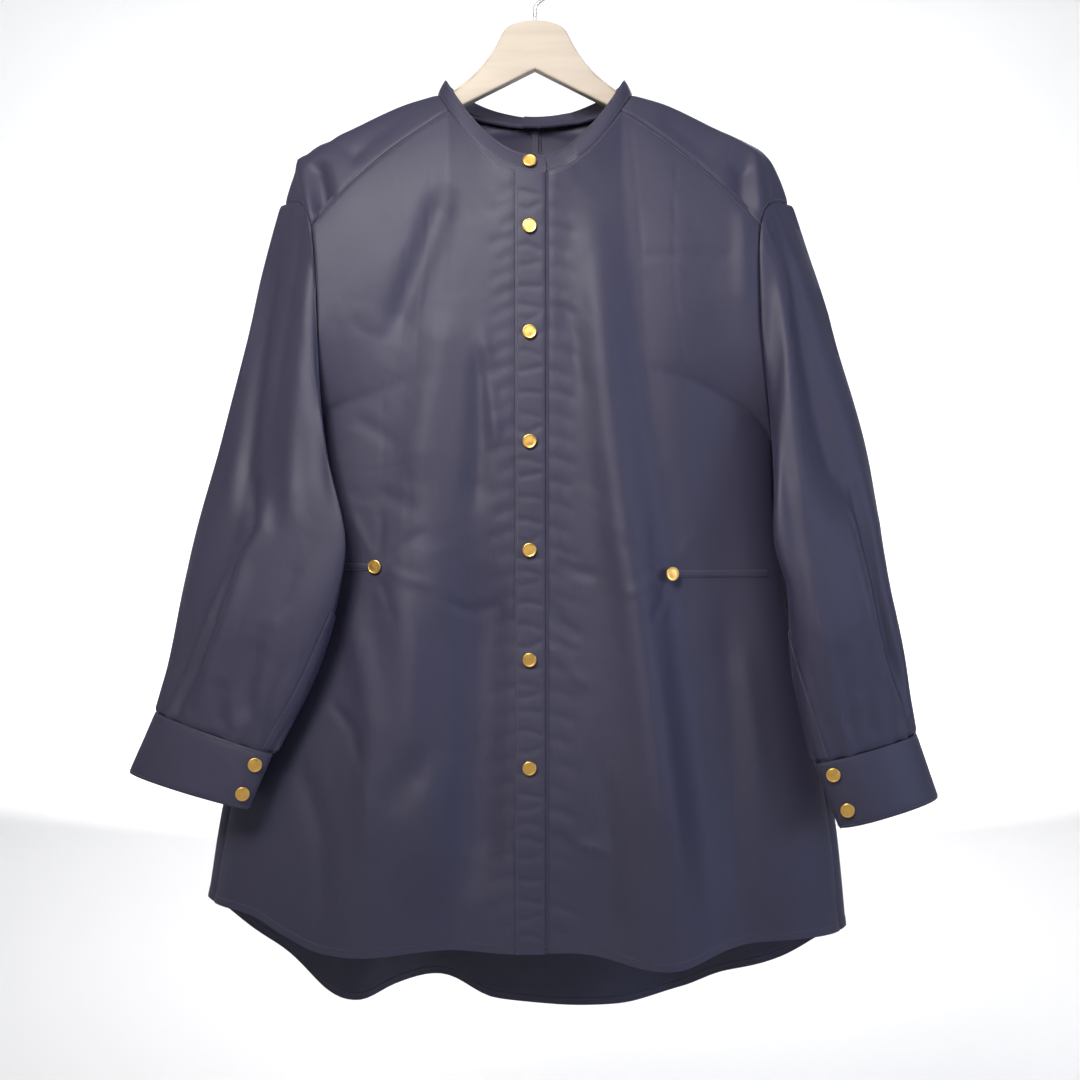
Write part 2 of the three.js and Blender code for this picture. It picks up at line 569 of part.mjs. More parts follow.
function collarHalf(side) {
  const sign = signOf(side);
  const isUpper = side === "left";
  const seamAngle = (x) => Math.asin(x / NECK_SEAM.half);
  const start = isUpper ? seamAngle(-BAND_END) : seamAngle(-BAND_UNDER);
  const end = isUpper ? Math.PI - seamAngle(SEAM) : Math.PI + seamAngle(BACK_LAP);
  const tuck = (FACED + LIE) * 1.5;
  const grid = gridOf(2, 28, (a, b) => {
    const angle = mix(start, end, a);
    const share = mix(1, (SEAM * 2) / (NECK_TOP.side - NECK_SEAM.side), b);
    const place = neck(angle, share);
    place.x *= sign;
    const nearEnds = Math.abs(Math.cos(angle)) > 0.9 ? smooth((Math.abs(Math.cos(angle)) - 0.9) / 0.06) : 0;
    if (!isUpper) place.y -= Math.sign(place.y) * tuck * nearEnds;
    return place;
  });
  add("collar_" + side, wall(grid, FACED, sign), COLOURS.cloth);
  if (!isUpper) return;
  const angle = -Math.asin(FRONT_BUTTON_X / NECK_SEAM.half);
  const foot = neck(angle, 0);
  const place = neck(angle, COLLAR_BUTTON_UP);
  const up = neck(angle, 1).sub(foot);
  place.x = FRONT_BUTTON_X;
  button("button_collar", place, point(0, -up.z, up.y));
}

function sleeve(side) {
  const sign = signOf(side);
  const grid = SLEEVE_ROWS.map((s) =>
    Array.from({ length: SLEEVE_COLS }, (_, j) => {
      const angle = ringAngle(j / SLEEVE_COLS);
      const place = sleevePoint(side, s, angle);
      const parted = 1 - smooth(s * 12);
      place.y -= SLEEVE_LAP * parted * Math.sqrt(Math.max(0, Math.sin(angle)));
      return point(sign * (place.x + SEAM * 2 * parted), place.y, place.z - SEAM * 2 * parted);
    }),
  );
  add("sleeve_" + side, wall(grid, CLOTH, -signOf(side), true), COLOURS.cloth);
  sleevePlacket(side, grid);
}

// Columns round a section, closer together where the outer fold lies
function ringAngle(share) {
  const turn = share * Math.PI * 2;
  return turn - 0.35 * Math.sin(turn);
}

function cuffRow(side, down) {
  const top = sleeveRow(side, 1);
  const row = { ...top };
  for (const key of Object.keys(CUFF_HEM[side])) row[key] = mix(top[key], CUFF_HEM[side][key], down);
  return row;
}

function cuffPoint(side, degrees, down, lift) {
  const row = cuffRow(side, down);
  const place = section(row, THREE.MathUtils.degToRad(degrees));
  const middle = point((row.outX + row.inX) / 2, (row.outY + row.inY) / 2, (row.outZ + row.inZ) / 2);
  const away = place.clone().sub(middle).normalize();
  place.addScaledVector(away, lift);
  place.x *= signOf(side);
  return place;
}

function cuff(side) {
  const turn = 360 + CUFF_END - CUFF_START;
  const grid = gridOf(2, 38, (a, b) => {
    const degrees = CUFF_START + a * turn;
    const tuck = (1 - smooth((degrees - 205) / 40)) * (FACED + LIE + 0.4);
    return cuffPoint(side, degrees, mix(0.006, 1, b), 0.6 - tuck);
  });
  add("cuff_" + side, wall(grid, FACED, -signOf(side)), COLOURS.cloth);
  CUFF_BUTTONS[side].forEach(({ turn: degrees, down }, i) => {
    const place = cuffPoint(side, degrees, down, 0.6);
    const round = cuffPoint(side, degrees + 3, down, 0.6).sub(cuffPoint(side, degrees - 3, down, 0.6));
    const drop = cuffPoint(side, degrees, down + 0.1, 0.6).sub(place);
    const out = drop.cross(round).multiplyScalar(-signOf(side));
    button("button_cuff_" + side + "_" + (i + 1), place, out);
  });
}

// The outside of a panel's facets straight in front of a place, for what lies on them.
function onFacets(grid, x, z) {
  const touch = (a, b, c) => {
    const area = (b.x - a.x) * (c.z - a.z) - (c.x - a.x) * (b.z - a.z);
    const v = ((x - a.x) * (c.z - a.z) - (c.x - a.x) * (z - a.z)) / area;
    const w = ((b.x - a.x) * (z - a.z) - (x - a.x) * (b.z - a.z)) / area;
    return v >= -1e-6 && w >= -1e-6 && v + w <= 1 + 1e-6 ? a.y + v * (b.y - a.y) + w * (c.y - a.y) : Infinity;
  };
  let y = Infinity;
  for (let i = 0; i < grid.length - 1; i++)
    for (let j = 0; j < grid[0].length - 1; j++) {
      const [a, b, c, d] = [grid[i][j], grid[i + 1][j], grid[i + 1][j + 1], grid[i][j + 1]];
      y = Math.min(y, touch(a, b, c), touch(a, c, d));
    }
  return point(x, y, z);
}

// The stitched channel from the waist button to the side seam
function waistTab(side, panel) {
  const { x, z } = WAIST_BUTTONS[side];
  const base = gridOf(2, 12, (a, b) =>
    onFacets(panel, mix(x + signOf(side) * 3, signOf(side) * TAB.end, a), z + TAB.high * (0.5 - b)),
  );
  const turn = signOf(side);
  add("waist_tab_" + side, wall(lift(base, turn * (LIE + TAB.thick)), TAB.thick, turn), COLOURS.cloth);
}

// The placket of a sleeve's slit lies on the sleeve, from above the elbow fold to the cuff.
function sleevePlacket(side, tube) {
  const base = gridOf(12, 3, (a, b) => {
    const s = mix(SLEEVE_SLIT[side][0].at, 0.992, b);
    const degrees = mix(along(SLEEVE_SLIT[side], "from", s), along(SLEEVE_SLIT[side], "to", s), a);
    let share = 0.5;
    for (let step = 0.25; step > 1e-7; step /= 2)
      share += THREE.MathUtils.radToDeg(ringAngle(share)) < degrees ? step : -step;
    const row = Math.max(0, SLEEVE_ROWS.findIndex((t) => t > s) - 1);
    const down = (s - SLEEVE_ROWS[row]) / (SLEEVE_ROWS[row + 1] - SLEEVE_ROWS[row]);
    const col = Math.floor(share * SLEEVE_COLS);
    const right = share * SLEEVE_COLS - col;
    const top = tube[row][col].clone().lerp(tube[row][col + 1], right);
    return top.lerp(tube[row + 1][col].clone().lerp(tube[row + 1][col + 1], right), down);
  });
  const turn = -signOf(side);
  add("sleeve_placket_" + side, wall(lift(base, turn * (LIE * 2.4 + TAB.thick)), TAB.thick, turn), COLOURS.cloth);
}

function buttonShape() {
  const b = BUTTON;
  const profile = [
    new THREE.Vector2(0, SEAM),
    new THREE.Vector2(b.shank, SEAM),
    new THREE.Vector2(b.shank, b.stand),
    new THREE.Vector2(b.radius, b.stand),
    new THREE.Vector2(b.radius, b.stand + b.cap - b.rim),
    new THREE.Vector2(b.radius - b.rim, b.stand + b.cap),
    new THREE.Vector2(0, b.stand + b.cap),
  ];
  return new THREE.LatheGeometry(profile, 10);
}

// A button stands on the cloth at a place, with its face turned along the cloth's normal.
function button(name, place, normal) {
  const mesh = add(name, buttonShape(), COLOURS.gold, 0.9, 0.3);
  mesh.position.copy(place);
  mesh.quaternion.setFromUnitVectors(point(0, 1, 0), normal.clone().normalize());
}

function hanger() {
  const outline = new THREE.Shape();
  const armTop = (col) => {
    const crest = ridge("right", col / YOKE_COLS);
    return [crest.x, crest.z - WOOD_UNDER];
  };
  const half = [
    [0, WOOD_TOP], [15, -56.5], [26, -61], [31, -70], [38, -83], [50, -98], [66, -112],
    [84, -124.5], ...WOOD_ARM.map(armTop), [195, -173],
    [200, -180], [201.5, -187], [198, -193], [188, -191], [61, -129],
  ];
  outline.moveTo(...half[0]);
  half.slice(1).forEach((p) => outline.lineTo(...p));
  outline.lineTo(0, -98.5);
  half.slice(1).reverse().forEach((p) => outline.lineTo(-p[0], p[1]));
  const shape = new THREE.ExtrudeGeometry(outline, {
    depth: WOOD_THICK - 2 * WOOD_EDGE, bevelEnabled: true, bevelThickness: WOOD_EDGE,
    bevelSize: WOOD_EDGE, bevelOffset: -WOOD_EDGE, bevelSegments: 2,
  });
  shape.translate(0, 0, -WOOD_THICK / 2 + WOOD_EDGE).rotateX(Math.PI / 2);
  const drill = new THREE.CylinderGeometry(HOOK_WIRE / 2 + HOOK_FIT, HOOK_WIRE / 2 + HOOK_FIT, HOOK_SEAT * 2, 16);
  drill.rotateX(Math.PI / 2).translate(0, 0, WOOD_TOP);
  add("hanger_wood", cut(shape, drill), COLOURS.wood, 0, 0.6);
}

class HookLine extends THREE.Curve {
  getPoint(t) {
    const middle = HOOK_INSIDE + HOOK_WIRE / 2;
    const stem = 0.2;
    const swing = 0.36;
    const low = WOOD_TOP - HOOK_SEAT + HOOK_FIT;
    const join = THREE.MathUtils.degToRad(-42);
    const tip = THREE.MathUtils.degToRad(196);
    const onArc = (angle) => point(middle * Math.cos(angle), 0, -HOOK_INSIDE + middle * Math.sin(angle));
    if (t < stem) return point(0, 0, mix(low, WOOD_TOP + 11, t / stem));
    if (t > swing) return onArc(mix(join, tip, (t - swing) / (1 - swing)));
    const u = (t - stem) / (swing - stem);
    const from = point(0, 0, WOOD_TOP + 11);
    const to = onArc(join);
    const curve = new THREE.CubicBezierCurve3(
      from, point(0, 0, WOOD_TOP + 17), point(to.x - 5.5, 0, to.z - 6), to,
    );
    return curve.getPoint(u);
  }
}

function hook() {
  const ring = new THREE.Shape().absarc(0, 0, HOOK_WIRE / 2, 0, Math.PI * 2);
  const wire = new THREE.ExtrudeGeometry(ring, { steps: 28, extrudePath: new HookLine(), curveSegments: 4 });
  add("hanger_hook", wire, COLOURS.wire, 1, 0.3);
}

const wasm = await Module();
wasm.setup();

function solidOf(shape) {
  const bare = new THREE.BufferGeometry();
  bare.setAttribute("position", shape.getAttribute("position"));
  if (shape.index) bare.setIndex(shape.index);
  const merged = mergeVertices(bare, 1e-4);
  return new wasm.Manifold(
    new wasm.Mesh({
      numProp: 3,
      vertProperties: new Float32Array(merged.attributes.position.array),
      triVerts: new Uint32Array(merged.index.array),
    }),
  );
}

function cut(shape, tool) {
  const mesh = solidOf(shape).subtract(solidOf(tool)).getMesh();
  const result = new THREE.BufferGeometry();
  result.setAttribute("position", new THREE.BufferAttribute(mesh.vertProperties, 3));
  result.setIndex(new THREE.BufferAttribute(mesh.triVerts, 1));
  result.computeVertexNormals();
  return result;
}

hanger();
hook();
yoke("left");
yoke("right");
frontPanel("left");
frontPanel("right");
backPanel();
placketStrip("placket_under", UNDER_LEFT, UNDER_RIGHT, 0);
const over = placketStrip("placket_over", OVER_LEFT, OVER_RIGHT, PLACKET_RISE);
FRONT_BUTTON_Z.forEach((z, i) => {
  button("button_front_" + (i + 1), onFacets(over, FRONT_BUTTON_X, z), point(0, -1, 0));
});
collarHalf("left");
collarHalf("right");
sleeve("left");
sleeve("right");
cuff("left");
cuff("right");

export default group;
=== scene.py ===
"""A loose band-collar shirt on a flat wooden hanger, with its cloth, seams, buttons and light.

Shapes are worked out in millimetres in the hanger's frame (+Z up, front towards -Y) and
turned into metres when a mesh is made.
"""
import math

import bmesh
import bpy
import numpy as np
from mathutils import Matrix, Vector, noise


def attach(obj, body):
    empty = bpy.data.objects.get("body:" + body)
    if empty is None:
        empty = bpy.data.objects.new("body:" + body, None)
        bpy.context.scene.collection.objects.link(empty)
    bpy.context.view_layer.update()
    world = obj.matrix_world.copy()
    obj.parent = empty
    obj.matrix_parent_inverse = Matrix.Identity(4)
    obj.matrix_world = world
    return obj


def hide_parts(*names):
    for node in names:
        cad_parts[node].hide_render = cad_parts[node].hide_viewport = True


bl_info = {
    "name": "Hanging band-collar shirt",
    "version": (1, 0, 0),
    "blender": (4, 5, 0),
    "location": "View3D > Sidebar > Shirt",
    "description": "Builds the cloth, buttons, hanger and studio of a shirt on a hanger",
    "category": "Object",
}

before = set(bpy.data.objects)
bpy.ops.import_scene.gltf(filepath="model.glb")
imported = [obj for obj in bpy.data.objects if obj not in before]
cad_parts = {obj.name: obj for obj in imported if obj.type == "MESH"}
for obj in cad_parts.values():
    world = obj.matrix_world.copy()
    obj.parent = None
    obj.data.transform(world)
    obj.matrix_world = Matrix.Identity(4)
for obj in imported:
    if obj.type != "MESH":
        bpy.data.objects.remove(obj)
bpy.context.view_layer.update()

# Sizes shared with the solids

CLOTH = 1.1
FACED = 1.6
SEAM = 0.3
NECK_SEAM = {"half": 87, "front": 54, "back": 34, "side": -121, "front_drop": 81, "back_drop": 20}
NECK_TOP = {"half": 80, "front": 46, "back": 46, "side": -107, "front_drop": 77, "back_drop": 22}
YOKE_START = math.radians(61)
BAND_END = 10
BAND_UNDER = 13
BACK_LAP = 11
OVER_LEFT, OVER_RIGHT = -17, 9
UNDER_LEFT, UNDER_RIGHT = -14, 12
PLACKET_RISE = 2.2
YOKE_TURN = (150, -185)
YOKE_CORNER_Z = -243
BACK_CORNER_Z = -252
BACK_SEAM_Z = -216
BACK_SEAM_Y = 45
ROOF_FLAT = 0.2
ROOF_POWER = 1.3
SLIT_TOP = 6
SLIT_BOTTOM = 1
UNDERARM_Z = -430
SIDE_SEAM_Y = -8
BODY_POWER = 2.4
FRONT_SWEEP = math.radians(80)
BACK_SWEEP = math.radians(105)
CHEST_SWEEP = math.radians(50)
BACK_BULGE = 1.03
CUFF_SLACK = 5
SLEEVE_LAP = 2.3
CUFF_START, CUFF_END = 128, 170

# The camera, the picture's side in pixels, and a pixel's size in the hanger's plane

CAMERA_X, CAMERA_Z, CAMERA_AWAY = 4.5, -516, 1350
PICTURE = 1080
MM_PER_PIXEL = 0.89

# Distances of stitches from an edge, and the (roll, line, groove) of the seams

HEM_STITCH = 6.6
YOKE_STITCH = 4.0
EDGE_STITCH = 2.2
NO_LINE = 99
PLAIN_SEAM = (0.9, NO_LINE)
SOFT_SEAM = (0.5, NO_LINE)
FACED_EDGE = (0.5, EDGE_STITCH, 0.25)
FACED_FOOT = (0.6, EDGE_STITCH, 0.25)


class Table:
    """Rows of named columns, read on a smooth curve through the rows."""

    def __init__(self, names, rows):
        self.at = [row[0] for row in rows]
        self.columns = {name: [row[i + 1] for row in rows] for i, name in enumerate(names.split())}
        self.names = list(self.columns)

    def read(self, name, at):
        places, values = self.at, self.columns[name]
        last = len(places) - 1
        if at <= places[0]:
            return values[0]
        if at >= places[last]:
            return values[last]
        i = 0
        while places[i + 1] < at:
            i += 1

        def slope(a, b):
            return (values[b] - values[a]) / (places[b] - places[a])

        here = slope(i, i + 1)
        before = slope(i - 1, i + 1) if i > 0 else here
        after = slope(i, i + 2) if i + 2 <= last else here
        span = places[i + 1] - places[i]
        t = (at - places[i]) / span
        return (
            (2 * t**3 - 3 * t**2 + 1) * values[i]
            + (t**3 - 2 * t**2 + t) * span * before
            + (3 * t**2 - 2 * t**3) * values[i + 1]
            + (t**3 - t**2) * span * after
        )

    def row(self, at):
        return {name: self.read(name, at) for name in self.names}


RIDGE = Table("x z", [
    (0, 87, -121.5), (0.22, 120, -131.5), (0.5, 163, -151), (0.7, 191, -164),
    (0.82, 209, -177), (0.91, 219.5, -197), (1, 227, -218),
])
BODY_DEPTH = Table("front back", [
    (-945, 62, 66), (-860, 61, 63), (-760, 57, 58), (-600, 50, 50),
    (-430, 50, 50), (-300, 52, 48), (-200, 54, 44),
])
SIDE_SEAM = {
    "left": Table("x", [(-836, 284), (-752, 270), (-700, 257), (-600, 228), (-516, 212), (-430, 209)]),
    "right": Table("x", [(-861, 270), (-770, 261), (-700, 249), (-600, 228), (-516, 213), (-430, 209)]),
}
FRONT_HEM = Table("z", [
    (-284, -836), (-246, -841), (-218, -855), (-188, -867), (-150, -870), (-85, -866), (-10, -868),
    (43, -868), (93, -878), (125, -879), (165, -868), (195, -863), (270, -861),
])
BACK_HEM = Table("z", [
    (-293, -838), (-260, -870), (-229, -894), (-193, -927), (-161, -936), (-130, -927), (-97, -923),
    (-76, -926), (-37, -943), (55, -947), (94, -946), (139, -934), (174, -915), (231, -896), (279, -862),
])
# Soft folds: top x, top z, bottom x, bottom z, half width at the top and bottom, rise
FRONT_FOLDS = [
    (-62, -260, -150, -870, 26, 46, 12), (62, -230, 112, -875, 24, 38, 16),
    (-40, -420, -68, -870, 20, 30, -8), (150, -300, 180, -860, 24, 34, -8),
]
BACK_FOLDS = [
    (-120, -400, -164, -930, 30, 34, -24), (-60, -380, -92, -925, 24, 30, 12),
    (20, -300, 40, -945, 30, 40, -10), (96, -340, 128, -930, 28, 36, 14),
    (150, -360, 196, -905, 22, 30, -8),
]
SLEEVE_COLUMNS = (
    "out_x out_y out_z in_x in_y in_z front front_in back back_in lean front_power inner_power back_power"
)
SLEEVE = {
    "left": Table(SLEEVE_COLUMNS, [
        (0, 226, 0, -218, 210, -8, -430, 38, 30, 38, 20, 4, 4, 1.6, 4),
        (0.14, 243, 0, -276, 220, -10, -470, 45, 47, 45, 10, 2, 4, 2.2, 3),
        (0.29, 258, -2, -347, 210, -30, -500, 46, 53, 60, 0, 0, 3.2, 2.2, 2.4),
        (0.45, 278, -5, -427, 190, -42, -530, 46, 54, 64, -8, 0, 2.6, 2.6, 2.2),
        (0.6, 297, -8, -498, 177, -48, -563, 42, 30, 60, -14, 0, 2.4, 2.8, 2.2),
        (0.74, 311, -12, -561, 178, -52, -600, 38, 12, 52, -10, 0, 2.4, 2.6, 2.2),
        (0.87, 320, -18, -614, 193, -56, -645, 30, 4, 38, -5, 0, 2.4, 2.4, 2.2),
        (1, 329, -30, -664, 221, -60, -697, 19, 0, 19, 0, 0, 2.3, 2.3, 2.3),
    ]),
    "right": Table(SLEEVE_COLUMNS, [
        (0, 229, 0, -218, 210, -8, -430, 38, 25, 38, 20, 12, 4, 1.6, 4),
        (0.14, 248, 0, -276, 222, -8, -470, 46, 27, 48, 10, 0, 4, 2.2, 3),
        (0.29, 265, -2, -347, 223, -22, -500, 50, 33, 64, 0, 0, 3, 2.2, 2.4),
        (0.45, 288, -5, -427, 221, -34, -530, 52, 36, 70, -8, 0, 2.6, 2.4, 2.2),
        (0.6, 301, -8, -498, 218, -44, -563, 50, 14, 68, -14, 0, 2.4, 2.6, 2.2),
        (0.74, 314, -12, -561, 219, -50, -600, 46, 5, 60, -10, 0, 2.4, 2.4, 2.2),
        (0.87, 325, -18, -620, 224, -54, -650, 36, 2, 44, -5, 0, 2.4, 2.4, 2.2),
        (1, 331, -30, -683, 236, -58, -705, 24, 0, 24, 0, 0, 2.3, 2.3, 2.3),
    ]),
}
SLEEVE_FOLD = Table("angle wide depth", [
    (0, 34, 12, 0), (0.08, 34, 13, 0.1), (0.3, 36, 15, 0.2), (0.6, 38, 16, 0.22),
    (0.85, 34, 13, 0.2), (1, 30, 10, 0.05),
])
CUFF_HEM = {
    "left": {"out_x": 351, "out_y": -34, "out_z": -717, "in_x": 241, "in_y": -62, "in_z": -744},
    "right": {"out_x": 349, "out_y": -34, "out_z": -738, "in_x": 257, "in_y": -60, "in_z": -760},
}
SLEEVE_SLIT = {
    "left": Table("start end", [(0.67, 142, 176), (1, 140, 176)]),
    "right": Table("start end", [(0.72, 172, 198), (0.86, 146, 176), (1, 134, 172)]),
}
WAIST_BUTTONS = {"left": (-137, -539), "right": (117, -545)}


def sign_of(side):
    return -1 if side == "left" else 1


def mix(a, b, t):
    return a + (b - a) * t


def clamp01(t):
    return min(1.0, max(0.0, t))


def smooth(t):
    t = clamp01(t)
    return t * t * (3 - 2 * t)


def spow(value, power):
    return math.copysign(abs(value) ** power, value)


def mix3(a, b, t):
    return [mix(a[i], b[i], t) for i in range(3)]


# The shirt's base form


def neck(angle, share):
    ring = {key: mix(NECK_SEAM[key], NECK_TOP[key], share) for key in NECK_SEAM}
    c = math.cos(angle)
    depth, drop = (ring["front"], ring["front_drop"]) if c > 0 else (ring["back"], ring["back_drop"])
    return [ring["half"] * math.sin(angle), -depth * c, ring["side"] - drop * c * c]


def section(row, angle):
    c0, s0 = math.cos(angle), math.sin(angle)
    front = s0 >= 0
    power = (row["front_power"] if front else row["back_power"]) if c0 >= 0 else row["inner_power"]
    c, s = spow(c0, 2 / power), abs(s0) ** (2 / power)
    depth = -row["front"] if front else row["back"]
    inward = row["front_in"] if front else row["back_in"]
    half = [(row["out_" + k] - row["in_" + k]) / 2 for k in "xyz"]
    return [
        row["in_x"] + half[0] + half[0] * c - inward * s - row["lean"] * c * s,
        row["in_y"] + half[1] + half[1] * c + depth * s,
        row["in_z"] + half[2] + half[2] * c,
    ]


def armhole_at(side, z, front):
    row = SLEEVE[side].row(0)
    half = (row["out_z"] - row["in_z"]) / 2
    c = max(-1.0, min(1.0, (z - row["in_z"] - half) / half))
    power = (row["front_power"] if front else row["back_power"]) if c >= 0 else row["inner_power"]
    raw = max(-1.0, min(1.0, spow(c, power / 2)))
    place = section(row, math.acos(raw) * (1 if front else -1))
    place[0] *= sign_of(side)
    return place


def clear_of_body(side, place):
    half = SIDE_SEAM[side].read("x", place[2]) * BACK_BULGE + CUFF_SLACK
    deep = BODY_DEPTH.read("front" if place[1] < 0 else "back", place[2]) + CUFF_SLACK + PLACKET_RISE
    share = (abs(place[0]) / half) ** BODY_POWER + (abs(place[1]) / deep) ** BODY_POWER
    if share >= 1:
        return place
    grow = mix(1, share ** (-1 / BODY_POWER), smooth((UNDERARM_Z + 45 - place[2]) / 35))
    return [place[0] * grow, place[1] * grow, place[2]]


def middle_of(row):
    return [(row["out_" + k] + row["in_" + k]) / 2 for k in "xyz"]


def sleeve_point(side, s, angle):
    row = SLEEVE[side].row(s)
    fold = SLEEVE_FOLD.row(s)
    off = (math.degrees(angle) - fold["angle"]) / fold["wide"]
    place = mix3(section(row, angle), middle_of(row), fold["depth"] * math.exp(-off * off))
    return clear_of_body(side, place)


def ridge(side, u):
    return [sign_of(side) * RIDGE.read("x", u), 0.0, RIDGE.read("z", u)]


def front_yoke_seam(side, q):
    start, end = neck(YOKE_START, 0), armhole_at(side, YOKE_CORNER_Z, True)

    def curve(a, b, c):
        return (1 - q) ** 2 * a + 2 * q * (1 - q) * b + q * q * c

    return [
        sign_of(side) * curve(start[0], YOKE_TURN[0], abs(end[0])),
        mix(start[1], end[1], q**0.8),
        curve(start[2], YOKE_TURN[1], end[2]),
    ]


def front_top(side, x):
    start = neck(YOKE_START, 0)
    far = abs(x)
    if far <= start[0]:
        place = neck(math.asin(far / NECK_SEAM["half"]), 0)
        return [x, place[1], place[2]]
    end = abs(armhole_at(side, YOKE_CORNER_Z, True)[0])
    a = start[0] - 2 * YOKE_TURN[0] + end
    b = 2 * (YOKE_TURN[0] - start[0])
    q = (-b + math.sqrt(max(b * b - 4 * a * (start[0] - far), 0))) / (2 * a)
    return front_yoke_seam(side, clamp01(q))


def back_top(x):
    end = armhole_at("left" if x < 0 else "right", BACK_CORNER_Z, False)
    share = min(1, abs(x / end[0]))
    return [x, mix(BACK_SEAM_Y, end[1], share**2.5), mix(BACK_SEAM_Z, end[2], share**2)]


def fold_rise(folds, x, z):
    total = 0
    for top_x, top_z, bot_x, bot_z, top_wide, bot_wide, rise in folds:
        t = (z - top_z) / (bot_z - top_z)
        line = mix(top_x, bot_x, t)
        wide = mix(top_wide, bot_wide, clamp01(t))
        total += rise * smooth(t + 0.15) * math.exp(-(((x - line) / wide) ** 2))
    return total


def sweep_at(z, low):
    return mix(low, CHEST_SWEEP, smooth((z - UNDERARM_Z + 50) / 200))


def panel_point(side, front, inner_x, across, down):
    sign = sign_of(side)
    corner = armhole_at(side, YOKE_CORNER_Z if front else BACK_CORNER_Z, front)
    seam = SIDE_SEAM[side]
    hem = FRONT_HEM if front else BACK_HEM
    name = "front" if front else "back"
    low = FRONT_SWEEP if front else BACK_SWEEP
    out = -1 if front else 1
    bottom_z = seam.at[0]
    edge_z = mix(corner[2], bottom_z, down)
    if edge_z > UNDERARM_Z:
        edge = armhole_at(side, edge_z, front)
    else:
        edge = [sign * seam.read("x", edge_z), SIDE_SEAM_Y, edge_z]
    if edge_z < UNDERARM_Z + 20:
        edge[1] += out * SEAM * 0.8
    power = 2 / BODY_POWER

    def bend(sweep):
        return math.sin(across * sweep) ** power / math.sin(sweep) ** power

    def fall(angle):
        return spow(math.cos(angle), power)

    def drop(sweep):
        return (fall(across * sweep) - fall(sweep)) / (1 - fall(sweep))

    now, top_sweep, hem_sweep = sweep_at(edge_z, low), sweep_at(corner[2], 0), sweep_at(bottom_z, low)
    x = mix(inner_x, edge[0], bend(now))
    top_x = mix(inner_x, corner[0], bend(top_sweep))
    top = front_top(side, top_x) if front else back_top(top_x)
    bottom_x = sign * seam.columns["x"][0]
    hem_x = mix(inner_x, bottom_x, bend(hem_sweep))
    hem_z = hem.read("z", hem_x) + (bottom_z - hem.read("z", bottom_x)) * across**6
    z = mix(top[2], hem_z, down)
    y = mix(edge[1], out * BODY_DEPTH.read(name, z), drop(now))
    top_middle = out * BODY_DEPTH.read(name, top[2])
    y += (top[1] - mix(corner[1], top_middle, drop(top_sweep))) * math.exp(-down * 9) * (1 - down)
    calm = smooth(down * 8) * (1 - smooth((across - 0.75) / 0.25))
    y += out * fold_rise(FRONT_FOLDS if front else BACK_FOLDS, x, z) * calm
    return [x, y, z - (1 - down) * SEAM]


def yoke_point(side, across, over):
    sign = sign_of(side)
    crest = ridge(side, across)
    a = abs(over)
    drop = clamp01((a - ROOF_FLAT) / (1 - ROOF_FLAT)) ** ROOF_POWER

    def hang(start, end):
        return [mix(start[0], end[0], a), mix(start[1], end[1], a), mix(start[2], end[2], drop)]

    corner_z = YOKE_CORNER_Z if over < 0 else BACK_CORNER_Z
    armhole = armhole_at(side, mix(SLEEVE[side].columns["out_z"][0], corner_z, a * a), over < 0)
    if over < 0:
        seam, seam_in, seam_out = (front_yoke_seam(side, q) for q in (across, 0, 1))
        neck_edge = neck(mix(math.pi / 2, YOKE_START, a), 0)
        neck_edge[0] *= sign
    else:
        slit = SLIT_BOTTOM / 2
        corner_x = abs(armhole_at(side, BACK_CORNER_Z, False)[0])
        seam = back_top(sign * mix(slit, corner_x, across))
        seam_in, seam_out = back_top(sign * slit), back_top(sign * corner_x)
        nape_angle = math.pi - math.asin(SLIT_TOP / 2 / NECK_SEAM["half"])
        if a < 0.5:
            neck_edge = neck(mix(math.pi / 2, nape_angle, a * 2), 0)
            neck_edge[0] *= sign
        else:
            nape = neck(nape_angle, 0)
            t = a * 2 - 1
            neck_edge = [mix(sign * nape[0], seam_in[0], t), mix(nape[1], seam_in[1], math.sqrt(t)),
                         mix(nape[2], seam_in[2], t)]
    place, first, last = hang(crest, seam), hang(ridge(side, 0), seam_in), hang(ridge(side, 1), seam_out)
    return [
        place[i] + (neck_edge[i] - first[i]) * (1 - across) ** 2 + (armhole[i] - last[i]) * across**3
        for i in range(3)
    ]


def cuff_point(side, degrees, down, lift):
    row = SLEEVE[side].row(1)
    for key, value in CUFF_HEM[side].items():
        row[key] = mix(row[key], value, down)
    place, middle = section(row, math.radians(degrees)), middle_of(row)
    away = Vector(place) - Vector(middle)
    away.normalize()
    return [sign_of(side) * (place[0] + away.x * lift), place[1] + away.y * lift, place[2] + away.z * lift]


# Grids of points, and the small things that are done to them


def grid_of(rows, cols, at):
    return np.array([[at(j / cols, i / rows) for j in range(cols + 1)] for i in range(rows + 1)])


def facing(grid, turn, round_=False):
    down = np.gradient(grid, axis=0)
    if round_:
        across = (np.roll(grid, -1, axis=1) - np.roll(grid, 1, axis=1)) / 2
    else:
        across = np.gradient(grid, axis=1)
    n = np.cross(down, across) * turn
    return n / np.maximum(np.linalg.norm(n, axis=2, keepdims=True), 1e-9)


def lengths(grid, axis):
    steps = np.linalg.norm(np.diff(grid, axis=axis), axis=2)
    zero = np.zeros_like(np.take(steps, [0], axis=axis))
    return np.concatenate([zero, np.cumsum(steps, axis=axis)], axis=axis)


def edge_distances(grid):
    """Each point's distance in millimetres from the top, bottom, first and last edges."""
    v, u = lengths(grid, 0), lengths(grid, 1)
    return {"top": v, "bottom": v[-1:] - v, "first": u, "last": u[:, -1:] - u}


